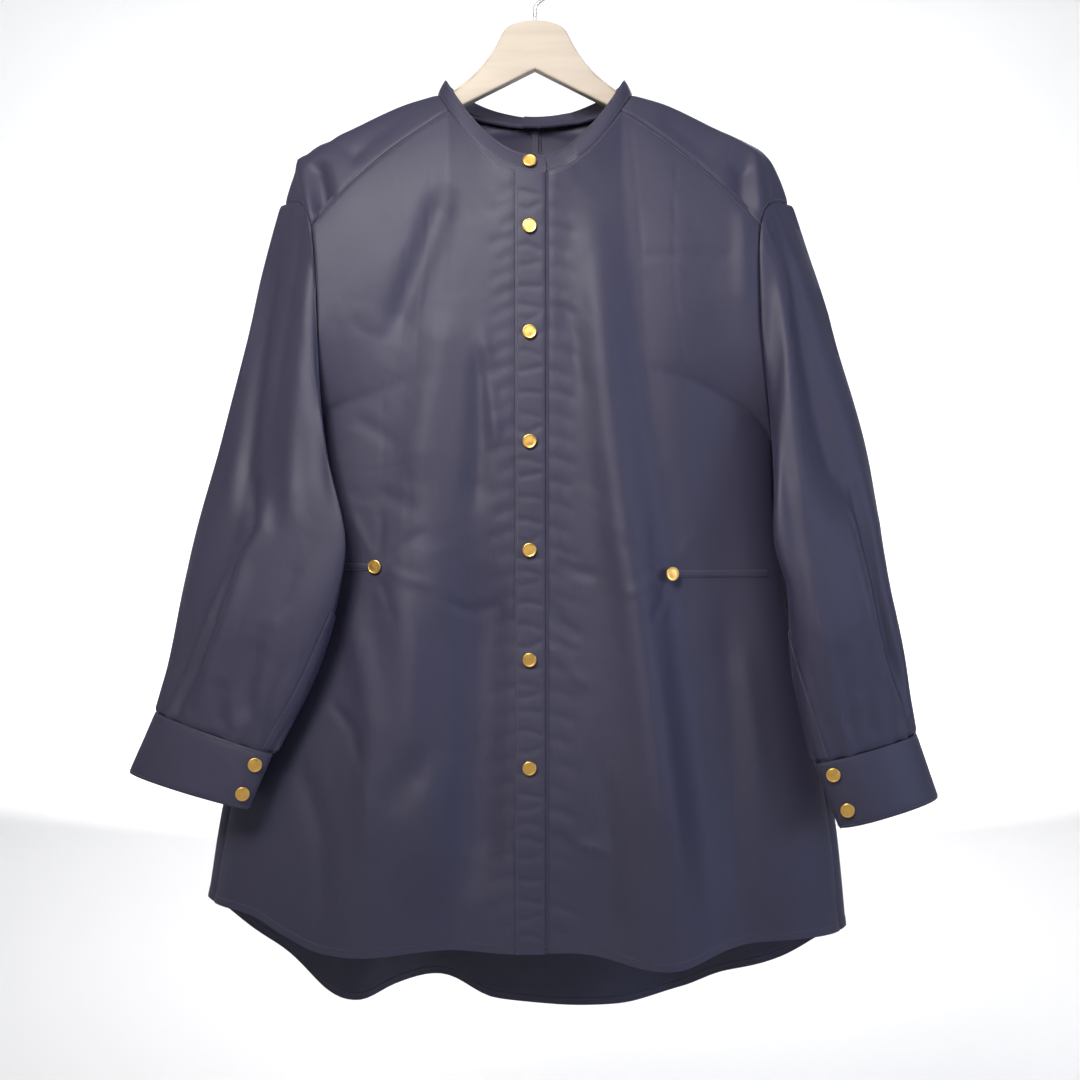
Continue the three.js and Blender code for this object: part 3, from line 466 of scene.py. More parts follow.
def picture_plane(grid):
    """Where the camera sees each point, in pixels of a square picture."""
    scale = CAMERA_AWAY / (CAMERA_AWAY + grid[..., 1]) / MM_PER_PIXEL
    middle = PICTURE / 2
    return middle + (grid[..., 0] - CAMERA_X) * scale, middle - (grid[..., 2] - CAMERA_Z) * scale


def crease_field(u, v, creases):
    """Height of creases drawn as lines (width, height, points...) on the plane of u and v."""
    total = np.zeros_like(u)
    for wide, high, *line in creases:
        nearest = np.full_like(u, 1e9)
        run = sum(math.dist(a, b) for a, b in zip(line, line[1:]))
        gone = 0.0
        share = np.zeros_like(u)
        for a, b in zip(line, line[1:]):
            dx, dy = b[0] - a[0], b[1] - a[1]
            long2 = dx * dx + dy * dy
            t = np.clip(((u - a[0]) * dx + (v - a[1]) * dy) / long2, 0, 1)
            d = np.hypot(u - a[0] - t * dx, v - a[1] - t * dy)
            closer = d < nearest
            nearest = np.where(closer, d, nearest)
            share = np.where(closer, (gone + t * math.sqrt(long2)) / run, share)
            gone += math.sqrt(long2)
        fade = np.clip(np.minimum(share, 1 - share) * 5 + 0.15, 0, 1)
        total += high * fade * np.exp(-((nearest / wide) ** 2))
    return total


def ripple(u, v, scale, seed):
    """Slow random swelling of the cloth, from -1 to 1."""
    flat = [
        noise.noise(Vector((a / scale, b / scale, seed))) for a, b in zip(u.ravel(), v.ravel())
    ]
    return np.array(flat).reshape(u.shape)


def seam_shape(away, roll=0.9, line=6.0, groove=0.35):
    """An edge that rolls under at a seam, with the dent of a line of stitches beside it."""
    return -roll * np.exp(-((away / 1.4) ** 2)) - groove * np.exp(-(((away - line) / 0.9) ** 2))


def sewn_edges(away, **edges):
    """The sum of the seams on the edges that are named, each with its roll, line and groove."""
    return sum(seam_shape(away[where], *how) for where, how in edges.items())


def turned_hem(away):
    """The band of a hem that is folded up and stitched."""
    return 0.45 * np.clip(8 - away, 0, 1) - 0.3 * np.exp(-(((away - HEM_STITCH) / 0.9) ** 2))


# Making objects


def smooth_mesh(name, places, faces, sharp):
    """A mesh in metres from places in millimetres, smooth but for edges over an angle in degrees."""
    mesh = bpy.data.meshes.new(name)
    mesh.from_pydata((np.asarray(places, dtype=float) * 0.001).tolist(), [], faces)
    shade_smooth(mesh, sharp)
    return mesh


def shade_smooth(mesh, sharp):
    mesh.polygons.foreach_set("use_smooth", np.ones(len(mesh.polygons), dtype=bool))
    mesh.set_sharp_from_angle(angle=math.radians(sharp))


def put_in_scene(name, mesh):
    piece = bpy.data.objects.new(name, mesh)
    bpy.context.scene.collection.objects.link(piece)
    return piece


def dress(piece, material, slot, *cad_nodes):
    """Gives a piece its material, hangs it on the root body and hides the solids that it stands for."""
    if not piece.data.materials:
        piece.data.materials.append(bpy.data.materials[material])
    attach(piece, "root")
    if cad_nodes:
        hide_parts(*cad_nodes)


def cloth_object(name, grid, thick, turn, round_=False):
    """A closed shell of cloth behind a grid of its outer points, with a UV map in metres."""
    rows, cols = grid.shape[:2]
    inner = grid - facing(grid, turn, round_) * thick
    places = np.concatenate([grid.reshape(-1, 3), inner.reshape(-1, 3)])
    count = rows * cols
    last = cols if round_ else cols - 1
    i, j = np.meshgrid(np.arange(rows - 1), np.arange(last), indexing="ij")
    k = (j + 1) % cols
    a, b, c, d = i * cols + j, (i + 1) * cols + j, (i + 1) * cols + k, i * cols + k
    outer = np.stack([a, b, c, d], axis=-1).reshape(-1, 4)
    faces = [outer if turn > 0 else outer[:, ::-1], (outer[:, ::-1] if turn > 0 else outer) + count]

    def rim(line, flip):
        quads = np.stack([line[:-1], line[1:], line[1:] + count, line[:-1] + count], axis=-1)
        faces.append(quads if (turn > 0) == flip else quads[:, ::-1])

    top = np.arange(cols)
    if round_:
        top = np.append(top, 0)
    rim(top, True)
    rim(top + (rows - 1) * cols, False)
    if not round_:
        side = np.arange(rows) * cols
        rim(side, False)
        rim(side + cols - 1, True)
    mesh = smooth_mesh(name, places, np.concatenate(faces).tolist(), 62)
    uv = np.stack([lengths(grid, 1), -lengths(grid, 0)], axis=-1).reshape(-1, 2) * 0.001
    uv = np.concatenate([uv, uv])
    layer = mesh.uv_layers.new(name="cloth")
    index = np.array([loop.vertex_index for loop in mesh.loops])
    layer.data.foreach_set("uv", uv[index].ravel())
    return put_in_scene(name, mesh)


def with_allowance(grid, turn, where, reach=6.0, depth=1.3):
    """The cloth beyond a seam, which lies behind the piece that it is sewn to."""
    normal = facing(grid, turn)
    axis = 0 if where in ("top", "bottom") else 1
    start = where in ("top", "first")
    edge, before = (np.take(grid, [k], axis=axis) for k in ((0, 3) if start else (-1, -4)))
    face = np.take(normal, [0 if start else -1], axis=axis)
    way = edge - before
    way /= np.maximum(np.linalg.norm(way, axis=2, keepdims=True), 1e-9)
    far = np.asarray(reach, dtype=float).reshape((1, -1, 1) if axis == 0 else (-1, 1, 1))
    rows = [edge - face * depth + way * 0.1 * np.minimum(far, 1), edge - face * depth + way * far]
    return np.concatenate(rows[::-1] + [grid] if start else [grid] + rows, axis=axis)


def flat_cut(grid, round_=False):
    closed = np.concatenate([grid, grid[:, :1]], axis=1) if round_ else grid
    a, b = np.diff(closed, axis=0)[:, :-1], np.diff(closed, axis=1)[:-1]
    area = np.linalg.norm(np.cross(a, b), axis=2).sum() * 1e-6
    wide, long_ = lengths(closed, 1)[:, -1].max() * 1e-3, lengths(closed, 0)[-1].max() * 1e-3
    return wide, long_, area


def finish_cloth(piece, cad_node, grid, round_=False):
    dress(piece, "navy_cotton", "navy_cloth", cad_node)
    wide, long_, area = flat_cut(grid, round_)
    min(area, wide * long_)


STITCH_LINES = []


def keep_stitches(line, normal):
    """Remembers a line of stitches: points on the cloth's outside and the way that it faces."""
    STITCH_LINES.append(np.asarray(line) + np.asarray(normal) * 0.12)


def stitch_row(grid, turn, where, away):
    """A line of stitches at a distance from one edge of a grid."""
    normal = facing(grid, turn)
    gaps = edge_distances(grid)[where]
    along_rows = where in ("first", "last")
    line, ways = [], []
    for k in range(grid.shape[0] if along_rows else grid.shape[1]):
        d = gaps[k] if along_rows else gaps[:, k]
        points = grid[k] if along_rows else grid[:, k]
        normals = normal[k] if along_rows else normal[:, k]
        order = np.argsort(d)
        line.append([np.interp(away, d[order], points[order][:, i]) for i in range(3)])
        ways.append([np.interp(away, d[order], normals[order][:, i]) for i in range(3)])
    keep_stitches(line, ways)


def stitch_rows(grid, turn, **edges):
    for where, away in edges.items():
        stitch_row(grid, turn, where, away)


# Creases, drawn where the camera sees them: half width, height, then points of the line

LEFT_FRONT_CREASES = [
    (15, -3.0, (448, 182), (425, 250), (389, 344)),
    (18, 1.8, (444, 310), (430, 390), (413, 482)),
    (11, -2.4, (482, 344), (480, 430), (475, 516)),
    (7, 1.4, (482, 327), (489, 390), (496, 448)),
    (8, -0.45, (348, 318), (366, 332), (392, 342)),
    (8, -0.5, (352, 418), (372, 428), (398, 446)),
    (8, -0.45, (376, 490), (396, 500), (420, 512)),
    (17, -3.2, (413, 557), (432, 650), (430, 747), (389, 815)),
    (13, 1.8, (352, 600), (372, 720), (366, 860)),
    (10, -1.4, (300, 760), (322, 840), (318, 925)),
    (30, 5.0, (418, 540), (424, 660), (428, 780), (430, 920)),
    (24, -4.0, (488, 560), (486, 700), (480, 900)),
    (5, -0.8, (440, 600), (470, 612), (505, 606)),
    (5, -0.8, (330, 700), (352, 730), (362, 770)),
]
RIGHT_FRONT_CREASES = [
    (17, 3.4, (588, 195), (598, 310), (608, 430), (622, 537), (634, 600), (650, 700), (672, 850),
     (680, 953)),
    (20, -3.6, (628, 220), (638, 340), (650, 430), (668, 537), (684, 640), (706, 800), (716, 930)),
    (10, 1.4, (743, 207), (744, 255), (746, 310)),
    (8, -0.8, (560, 300), (575, 340), (582, 400)),
    (6, -0.9, (548, 600), (562, 622), (580, 640)),
    (6, 0.8, (550, 640), (566, 668), (590, 690)),
    (6, -0.8, (556, 560), (576, 572), (600, 576)),
    (3, -0.5, (638, 256), (690, 254), (747, 257)),
    (12, 1.8, (742, 640), (756, 760), (764, 920)),
    (11, -1.8, (722, 600), (732, 740), (742, 920)),
    (8, -1.0, (600, 760), (612, 840), (610, 940)),
    (5, 0.7, (560, 820), (580, 846), (612, 852)),
]
WAIST_CREASES = [
    (4, -0.9, (384, 561), (404, 545), (428, 528)),
    (4, 0.8, (386, 568), (408, 580), (436, 586)),
    (4, -0.8, (379, 576), (388, 598), (396, 626)),
    (4, 0.7, (371, 556), (362, 536), (352, 516)),
    (4, -0.7, (378, 555), (382, 532), (380, 508)),
    (4, -0.9, (662, 569), (640, 556), (620, 540)),
    (4, 0.8, (662, 577), (642, 588), (622, 596)),
    (4, -0.8, (668, 584), (660, 606), (648, 630)),
    (4, 0.7, (676, 564), (688, 545), (700, 524)),
    (4, -0.8, (675, 584), (684, 606), (696, 628)),
]
LEFT_YOKE_CREASES = [
    (5, 3.4, (299, 150), (303, 175), (308, 196), (313, 222)),
    (10, -6.5, (314, 158), (321, 186), (326, 218)),
    (7, -1.6, (322, 138), (345, 150), (362, 158)),
    (7, -1.0, (400, 118), (372, 140), (352, 160)),
]
RIGHT_YOKE_CREASES = [
    (6, 2.6, (756, 150), (757, 180), (762, 214)),
    (10, -5.0, (744, 162), (742, 186), (742, 214)),
    (7, -1.0, (660, 118), (690, 140), (712, 158)),
]
LEFT_SLEEVE_CREASES = [
    (5, -5.0, (254, 470), (251, 525), (238, 545), (228, 570), (218, 600), (207, 635), (196, 665),
     (183, 695), (175, 712)),
    (7, 3.0, (266, 480), (262, 530), (244, 560), (236, 590), (226, 620), (214, 650), (204, 680),
     (196, 712)),
    (8, -5.0, (292, 206), (283, 226), (273, 267), (264, 319), (252, 420), (240, 520)),
    (10, 3.0, (308, 240), (300, 340), (292, 440), (290, 540)),
    (8, -2.2, (322, 300), (318, 400), (322, 500)),
    (7, -2.0, (262, 640), (250, 680), (246, 722)),
    (6, 1.6, (280, 600), (264, 660), (262, 730)),
    (5, -1.6, (222, 680), (218, 700), (220, 728)),
    (4, 1.2, (232, 690), (232, 710), (234, 732)),
    (4, -1.2, (292, 660), (276, 690), (270, 736)),
    (6, -1.6, (296, 560), (280, 600), (262, 620)),
    (4, -1.2, (200, 676), (192, 700), (192, 716)),
    (3, 1.6, (289, 207), (290, 216), (287, 232)),
    (3, -1.6, (293, 207), (295, 218), (294, 238)),
    (3, 1.4, (297, 208), (300, 220), (301, 240)),
]
RIGHT_SLEEVE_CREASES = [
    (5, -5.0, (850, 470), (856, 500), (866, 540), (875, 575), (883, 615), (890, 650), (897, 670),
     (904, 695), (907, 712)),
    (7, 3.0, (842, 480), (852, 540), (864, 590), (874, 640), (884, 680), (890, 718)),
    (14, -6.0, (782, 220), (800, 320), (818, 420), (842, 520)),
    (10, 3.4, (776, 250), (788, 350), (796, 450), (806, 540)),
    (11, 3.6, (816, 260), (838, 360), (862, 470), (884, 580)),
    (9, -2.0, (784, 430), (794, 520), (800, 620)),
    (7, -2.0, (836, 640), (846, 690), (852, 742)),
    (6, 1.6, (818, 610), (832, 670), (842, 744)),
    (5, -1.6, (866, 680), (868, 710), (872, 738)),
    (4, 1.2, (858, 690), (860, 712), (862, 740)),
    (4, -1.2, (806, 660), (818, 700), (830, 742)),
    (4, 1.0, (878, 690), (880, 712), (884, 734)),
    (3, 1.4, (778, 210), (777, 222), (778, 240)),
    (3, -1.4, (783, 208), (784, 222), (786, 240)),
]
# Folds that the back of the shirt falls into, seen from behind
BACK_CREASES = [
    (16, -4.0, (420, 260), (404, 400), (380, 560), (360, 760), (350, 930)),
    (14, 3.4, (470, 280), (460, 460), (452, 640), (440, 900)),
    (13, -3.0, (505, 250), (508, 400), (500, 600), (496, 960)),
    (15, 3.6, (560, 260), (572, 420), (584, 640), (590, 960)),
    (14, -3.4, (610, 250), (634, 420), (650, 640), (668, 950)),
    (12, 2.6, (680, 300), (700, 460), (724, 680), (740, 920)),
    (12, -2.4, (730, 380), (752, 560), (780, 760), (792, 880)),
    (10, -1.6, (350, 380), (332, 520), (306, 700), (290, 880)),
    (7, -1.0, (440, 560), (480, 580), (520, 574)),
    (7, -0.9, (600, 640), (640, 626), (680, 640)),
]
SLEEVE_BACK_CREASES = [
    (12, -4.5, (262, 260), (246, 400), (232, 540), (214, 680)),
    (9, 3.0, (292, 300), (280, 440), (262, 580), (240, 700)),
    (6, -3.0, (300, 520), (284, 600), (262, 700)),
    (5, 1.6, (226, 640), (210, 690), (206, 716)),
    (5, -1.6, (252, 660), (244, 700), (242, 726)),
    (4, -1.4, (196, 640), (186, 680), (182, 712)),
]


def deeper(creases, times):
    return [(wide, high * times, *line) for wide, high, *line in creases]


def placket_puckers(x, lean, seed):
    """Short uneven creases that pull away from a line of stitches down the front."""
    rows = []
    y, k = 186.0, seed
    while y < 940:
        strength = 0.45 + 0.4 * abs(math.sin(k * 2.3))
        reach = 16 + 14 * abs(math.sin(k * 1.7 + 1))
        rows.append((3.2, -strength, (x, y), (x + lean * reach * 0.5, y + 4), (x + lean * reach, y + 11)))
        y += 15 + 9 * abs(math.sin(k * 3.1))
        k += 1
    return rows


def drape(grid, turn, creases, swell, scale, seed, behind=False):
    """Moves a panel's points in and out along its face by its creases and a slow swelling."""
    u, v = picture_plane(grid)
    if behind:
        u = PICTURE - u
    normal = facing(grid, turn)
    rise = crease_field(u, v, creases)
    rise = rise + swell * ripple(lengths(grid, 1), lengths(grid, 0) * 0.45, scale, seed)
    return grid + normal * rise[..., None], normal


# Materials


def socket(group, name, direction, kind, **values):
    made = group.interface.new_socket(name=name, in_out=direction, socket_type=kind)
    for key, value in values.items():
        setattr(made, key, value)


def node(tree, kind, x, y, **values):
    made = tree.nodes.new(kind)
    made.location = (x, y)
    for name, value in values.items():
        setattr(made, name, value)
    return made


def math_node(tree, operation, x, y, *values):
    made = node(tree, "ShaderNodeMath", x, y, operation=operation)
    for index, value in enumerate(values):
        if isinstance(value, (int, float)):
            made.inputs[index].default_value = value
        else:
            tree.links.new(value, made.inputs[index])
    return made.outputs[0]


def weave_group():
    """Threads of a close weave: a fine cross-hatch and slubs that run along the warp."""
    group = bpy.data.node_groups.new("close_weave", "ShaderNodeTree")
    socket(group, "Vector", "INPUT", "NodeSocketVector")
    socket(group, "Threads", "INPUT", "NodeSocketFloat", default_value=1400.0)
    socket(group, "Slub", "INPUT", "NodeSocketFloat", default_value=0.5)
    socket(group, "Height", "OUTPUT", "NodeSocketFloat")
    socket(group, "Tone", "OUTPUT", "NodeSocketFloat")
    start = node(group, "NodeGroupInput", -1100, 0)
    end = node(group, "NodeGroupOutput", 500, 0)
    link = group.links.new
    split = node(group, "ShaderNodeSeparateXYZ", -900, 100)
    link(start.outputs["Vector"], split.inputs[0])
    warp = math_node(group, "MULTIPLY", -700, 200, split.outputs["X"], start.outputs["Threads"])
    weft = math_node(group, "MULTIPLY", -700, 50, split.outputs["Y"], start.outputs["Threads"])
    cross = math_node(
        group, "MULTIPLY", -350, 150,
        math_node(group, "SINE", -520, 200, warp), math_node(group, "SINE", -520, 50, weft),
    )
    stretch = node(group, "ShaderNodeVectorMath", -700, -200, operation="MULTIPLY")
    stretch.inputs[1].default_value = (900.0, 45.0, 1.0)
    link(start.outputs["Vector"], stretch.inputs[0])
    slubs = node(group, "ShaderNodeTexNoise", -500, -200, noise_dimensions="2D")
    slubs.inputs["Scale"].default_value = 1.0
    slubs.inputs["Detail"].default_value = 3.0
    link(stretch.outputs[0], slubs.inputs["Vector"])
    slub = math_node(group, "MULTIPLY", -300, -200, slubs.outputs["Fac"], start.outputs["Slub"])
    height = math_node(group, "ADD", 0, 0, math_node(group, "MULTIPLY", -150, 100, cross, 0.25), slub)
    link(height, end.inputs["Height"])
    link(slubs.outputs["Fac"], end.inputs["Tone"])
    return group


def wrinkle_group():
    """Small soft creases that handling leaves in pressed cotton."""
    group = bpy.data.node_groups.new("handling_creases", "ShaderNodeTree")
    socket(group, "Vector", "INPUT", "NodeSocketVector")
    socket(group, "Size", "INPUT", "NodeSocketFloat", default_value=30.0)
    socket(group, "Height", "OUTPUT", "NodeSocketFloat")
    start = node(group, "NodeGroupInput", -900, 0)
    end = node(group, "NodeGroupOutput", 400, 0)
    link = group.links.new
    bent = node(group, "ShaderNodeTexNoise", -700, -150)
    bent.inputs["Scale"].default_value = 9.0
    link(start.outputs["Vector"], bent.inputs["Vector"])
    shift = node(group, "ShaderNodeVectorMath", -500, -100, operation="MULTIPLY_ADD")
    shift.inputs[1].default_value = (0.03, 0.03, 0.03)
    link(bent.outputs["Color"], shift.inputs[0])
    link(start.outputs["Vector"], shift.inputs[2])
    lines = node(group, "ShaderNodeTexNoise", -250, 50)
    lines.inputs["Detail"].default_value = 2.0
    lines.inputs["Roughness"].default_value = 0.45
    lines.inputs["Distortion"].default_value = 0.6
    link(shift.outputs[0], lines.inputs["Vector"])
    link(start.outputs["Size"], lines.inputs["Scale"])
    link(lines.outputs["Fac"], end.inputs["Height"])
    return group


def new_material(name):
    """A material with its node tree, its shader and the socket of its object coordinates."""
    material = bpy.data.materials.new(name)
    material.use_nodes = True
    tree = material.node_tree
    place = node(tree, "ShaderNodeTexCoord", -1300, -400)
    return tree, tree.nodes["Principled BSDF"], place.outputs["Object"]


def preset(made, **values):
    """Sets inputs by name; an underscore in a name stands for a space."""
    for name, value in values.items():
        made.inputs[name.replace("_", " ")].default_value = value


def noise_mask(tree, x, y, vector, **values):
    made = node(tree, "ShaderNodeTexNoise", x, y)
    preset(made, **values)
    tree.links.new(vector, made.inputs["Vector"])
    return made.outputs["Fac"]


def colour_ramp(tree, x, y, mask, *stops):
    ramp = node(tree, "ShaderNodeValToRGB", x, y)
    for element, (position, colour, times) in zip(ramp.color_ramp.elements, stops):
        element.position = position
        element.color = (*[min(1, c * times) for c in colour], 1)
    tree.links.new(mask, ramp.inputs[0])
    return ramp.outputs[0]


def value_range(tree, x, y, mask, low, high):
    made = node(tree, "ShaderNodeMapRange", x, y)
    preset(made, To_Min=low, To_Max=high)
    tree.links.new(mask, made.inputs["Value"])
    return made.outputs[0]


def bump(tree, x, y, height, strength, distance, normal=None):
    made = node(tree, "ShaderNodeBump", x, y)
    preset(made, Strength=strength, Distance=distance)
    tree.links.new(height, made.inputs["Height"])
    if normal is not None:
        tree.links.new(normal, made.inputs["Normal"])
    return made.outputs[0]


def finish_material(tree, shader, **sockets):
    for name, value in sockets.items():
        tree.links.new(value, shader.inputs[name.replace("_", " ")])


def cotton_material(settings):
    tree, shader, place = new_material("navy_cotton")
    preset(shader, Specular_IOR_Level=0.36, Sheen_Weight=settings.sheen, Sheen_Roughness=0.38,
           Sheen_Tint=(*settings.sheen_colour, 1))
    uv = node(tree, "ShaderNodeUVMap", -1300, 0, uv_map="cloth")
    weave = node(tree, "ShaderNodeGroup", -1050, 0, node_tree=bpy.data.node_groups["close_weave"])
    preset(weave, Threads=settings.threads, Slub=0.6)
    tree.links.new(uv.outputs[0], weave.inputs["Vector"])
    wrinkles = node(tree, "ShaderNodeGroup", -1050, -300, node_tree=bpy.data.node_groups["handling_creases"])
    preset(wrinkles, Size=17.0)
    tree.links.new(place, wrinkles.inputs["Vector"])
    cloud = noise_mask(tree, -1050, 300, place, Scale=5.0)
    shade = math_node(
        tree, "ADD", -780, 250, math_node(tree, "MULTIPLY", -900, 300, cloud, 0.55),
        math_node(tree, "MULTIPLY", -900, 150, weave.outputs["Tone"], 0.45))
    coarse = bump(tree, -500, -250, wrinkles.outputs["Height"], 0.35, 0.004)
    navy = settings.colour
    finish_material(
        tree, shader,
        Base_Color=colour_ramp(tree, -600, 250, shade, (0.3, navy, 0.86), (0.7, navy, 1.13)),
        Roughness=value_range(tree, -600, 0, shade, 0.46, 0.64),
        Normal=bump(tree, -250, -100, weave.outputs["Height"], 0.25, 0.00025, coarse))


def thread_material(settings):
    tree, shader, place = new_material("navy_thread")
    preset(shader, Roughness=0.55, Sheen_Weight=0.3)
    twist = noise_mask(tree, -500, 0, place, Scale=900.0)
    finish_material(tree, shader, Base_Color=colour_ramp(
        tree, -300, 0, twist, (0.0, settings.colour, 0.6), (1.0, settings.colour, 1.1)))


def gold_material(settings):
    tree, shader, place = new_material("satin_gold")
    preset(shader, Metallic=1.0)
    worn = noise_mask(tree, -700, 100, place, Scale=260.0, Detail=4.0)
    finish_material(
        tree, shader,
        Base_Color=colour_ramp(tree, -450, 150, worn, (0.3, settings.gold, 0.85), (0.75, settings.gold, 1)),
        Roughness=value_range(tree, -450, -100, worn, 0.2, 0.42),
        Normal=bump(tree, -300, -350, worn, 0.15, 0.0003))


def wood_material(settings):
    tree, shader, place = new_material("pale_wood")
    preset(shader, Specular_IOR_Level=0.35)
    turn = node(tree, "ShaderNodeMapping", -1100, 0)
    preset(turn, Scale=(9.0, 60.0, 75.0))
    tree.links.new(place, turn.inputs["Vector"])
    grain = noise_mask(tree, -850, 100, turn.outputs[0], Scale=1.0, Detail=6.0, Distortion=0.4)
    finish_material(
        tree, shader,
        Base_Color=colour_ramp(tree, -550, 150, grain, (0.32, settings.wood, 0.84), (0.72, settings.wood, 1)),
        Roughness=value_range(tree, -550, -100, grain, 0.45, 0.62),
        Normal=bump(tree, -300, -300, grain, 0.2, 0.0005))


def steel_material(settings):
    tree, shader, place = new_material("bright_wire")
    preset(shader, Metallic=1.0, Base_Color=(*settings.wire, 1))
    drawn = noise_mask(tree, -600, 0, place, Scale=400.0)
    finish_material(tree, shader, Roughness=value_range(tree, -350, 0, drawn, 0.18, 0.34))


# Settings


class ClothSettings(bpy.types.PropertyGroup):
    colour: bpy.props.FloatVectorProperty(
        name="Colour", description="Colour of the cotton", subtype="COLOR", size=3, min=0, max=1,
        default=(0.0262, 0.0243, 0.046))
    sheen: bpy.props.FloatProperty(
        name="Sheen", description="Strength of the cotton's sheen", default=0.05, min=0, max=1)
    sheen_colour: bpy.props.FloatVectorProperty(
        name="Sheen colour", description="Tint of the sheen", subtype="COLOR", size=3, min=0, max=1,
        default=(0.42, 0.48, 0.85))
    threads: bpy.props.FloatProperty(
        name="Threads", description="Turns of the weave's pattern in a metre", default=5200,
        min=500, max=20000)
    detail: bpy.props.FloatProperty(
        name="Mesh step", description="Length of a mesh cell on the cloth", default=0.0034,
        min=0.002, max=0.02, subtype="DISTANCE", unit="LENGTH")


class TrimSettings(bpy.types.PropertyGroup):
    gold: bpy.props.FloatVectorProperty(
        name="Button colour", description="Colour of the buttons", subtype="COLOR", size=3, min=0, max=1,
        default=(0.95, 0.56, 0.14))
    wood: bpy.props.FloatVectorProperty(
        name="Wood colour", description="Colour of the hanger's wood", subtype="COLOR", size=3, min=0, max=1,
        default=(0.50, 0.425, 0.33))
    wire: bpy.props.FloatVectorProperty(
        name="Wire colour", description="Colour of the hook", subtype="COLOR", size=3, min=0, max=1,
        default=(0.62, 0.62, 0.63))
    button: bpy.props.FloatProperty(
        name="Button size", description="Diameter of a button", default=0.012, min=0.006, max=0.02,
        subtype="DISTANCE", unit="LENGTH")
    stitch: bpy.props.FloatProperty(
        name="Stitch", description="Length of one stitch with its gap", default=0.0028, min=0.001, max=0.01,
        subtype="DISTANCE", unit="LENGTH")


class StudioSettings(bpy.types.PropertyGroup):
    floor: bpy.props.FloatProperty(
        name="Floor", description="Height of the floor", default=-1.45, min=-5, max=-1,
        subtype="DISTANCE", unit="LENGTH")
    pool: bpy.props.FloatProperty(
        name="Chest light", description="Power of the narrow light on the chest in watts", default=3.9, min=0)
    room: bpy.props.FloatProperty(
        name="Room light", description="Power of the wide lights in watts", default=70, min=0)
    fill: bpy.props.FloatProperty(
        name="Fill light", description="Power of the cool side light in watts", default=21, min=0)


# Operators


class SHIRT_OT_materials(bpy.types.Operator):
    """Makes the cotton, thread, gold, wood and wire"""

    bl_idname = "shirt.materials"
    bl_label = "Materials"

    def execute(self, context):
        weave_group()
        wrinkle_group()
        cloth, trim = context.scene.shirt_cloth, context.scene.shirt_trim
        cotton_material(cloth)
        thread_material(cloth)
        gold_material(trim)
        wood_material(trim)
        steel_material(trim)
        return {"FINISHED"}


class SHIRT_OT_fronts(bpy.types.Operator):
    """Hangs the two front panels with their folds, hems and stitched edges"""

    bl_idname = "shirt.fronts"
    bl_label = "Front panels"

    def execute(self, context):
        step = context.scene.shirt_cloth.detail * 1000
        for side, inner, rise, creases, pucker_line, seeds in (
            ("left", OVER_LEFT - SEAM, PLACKET_RISE, deeper(LEFT_FRONT_CREASES, 1.6), 516, (3, 3)),
            ("right", UNDER_RIGHT + SEAM, 0, deeper(RIGHT_FRONT_CREASES, 1.4), 549, (11, 8)),
        ):
            turn = sign_of(side)

            def at(a, b):
                x, y, z = panel_point(side, True, inner, a ** 1.15, b)
                return x, y - rise * (1 - smooth(a * 3)), z

            grid = grid_of(int(640 / step), int(270 / step), at)
            creases = creases + WAIST_CREASES + placket_puckers(pucker_line, turn, seeds[0])
            grid, _ = drape(grid, turn, creases, swell=0.8, scale=55, seed=seeds[1])
            away = edge_distances(grid)
            shape = sewn_edges(away, top=(), last=PLAIN_SEAM, first=SOFT_SEAM) + turned_hem(away["bottom"])
            grid = grid + facing(grid, turn) * shape[..., None]
            past_neck = np.clip((np.abs(grid[0, :, 0]) - 78) / 4, 0.02, 1) * 6
            sewn = with_allowance(with_allowance(grid, turn, "top", past_neck), turn, "last")
            piece = cloth_object("front_panel_" + side, sewn, CLOTH, turn)
            channel = self.waist_channel(side, grid, turn)
            finish_cloth(piece, "front_" + side, grid)
            stitch_rows(grid, turn, top=YOKE_STITCH, bottom=HEM_STITCH)
        return {"FINISHED"}

    def waist_channel(self, side, grid, turn):
        """A narrow stitched strip that lies on the front from the waist button to the side."""
        button_x, button_z = WAIST_BUTTONS[side]
        start, end = button_x + sign_of(side) * 3, sign_of(side) * 203
        flat = grid.reshape(-1, 3)
        normals = facing(grid, turn).reshape(-1, 3)
        rows = []
        for k in np.linspace(0.5, -0.5, 7):
            row = []
            for t in np.linspace(0, 1, 60):
                x, z = mix(start, end, t), button_z + 6.5 * k
                near = np.hypot(flat[:, 0] - x, flat[:, 2] - z)
                nearest = np.argpartition(near, 6)[:6]
                weight = 1 / (near[nearest] + 0.05)
                y = (flat[nearest, 1] * weight).sum() / weight.sum()
                n = (normals[nearest] * weight[:, None]).sum(axis=0)
                n /= np.linalg.norm(n)
                lift = 0.3 + 0.9 * (1 - abs(2 * k) ** 4)
                row.append(np.array([x, y, z]) + n * lift)
            rows.append(row)
        tab = np.array(rows)
        piece = cloth_object("waist_channel_" + side, tab, 0.8, turn)
        dress(piece, "navy_cotton", "navy_cloth", "waist_tab_" + side)
        stitch_rows(tab, turn, top=0.9, bottom=0.9)
        return piece


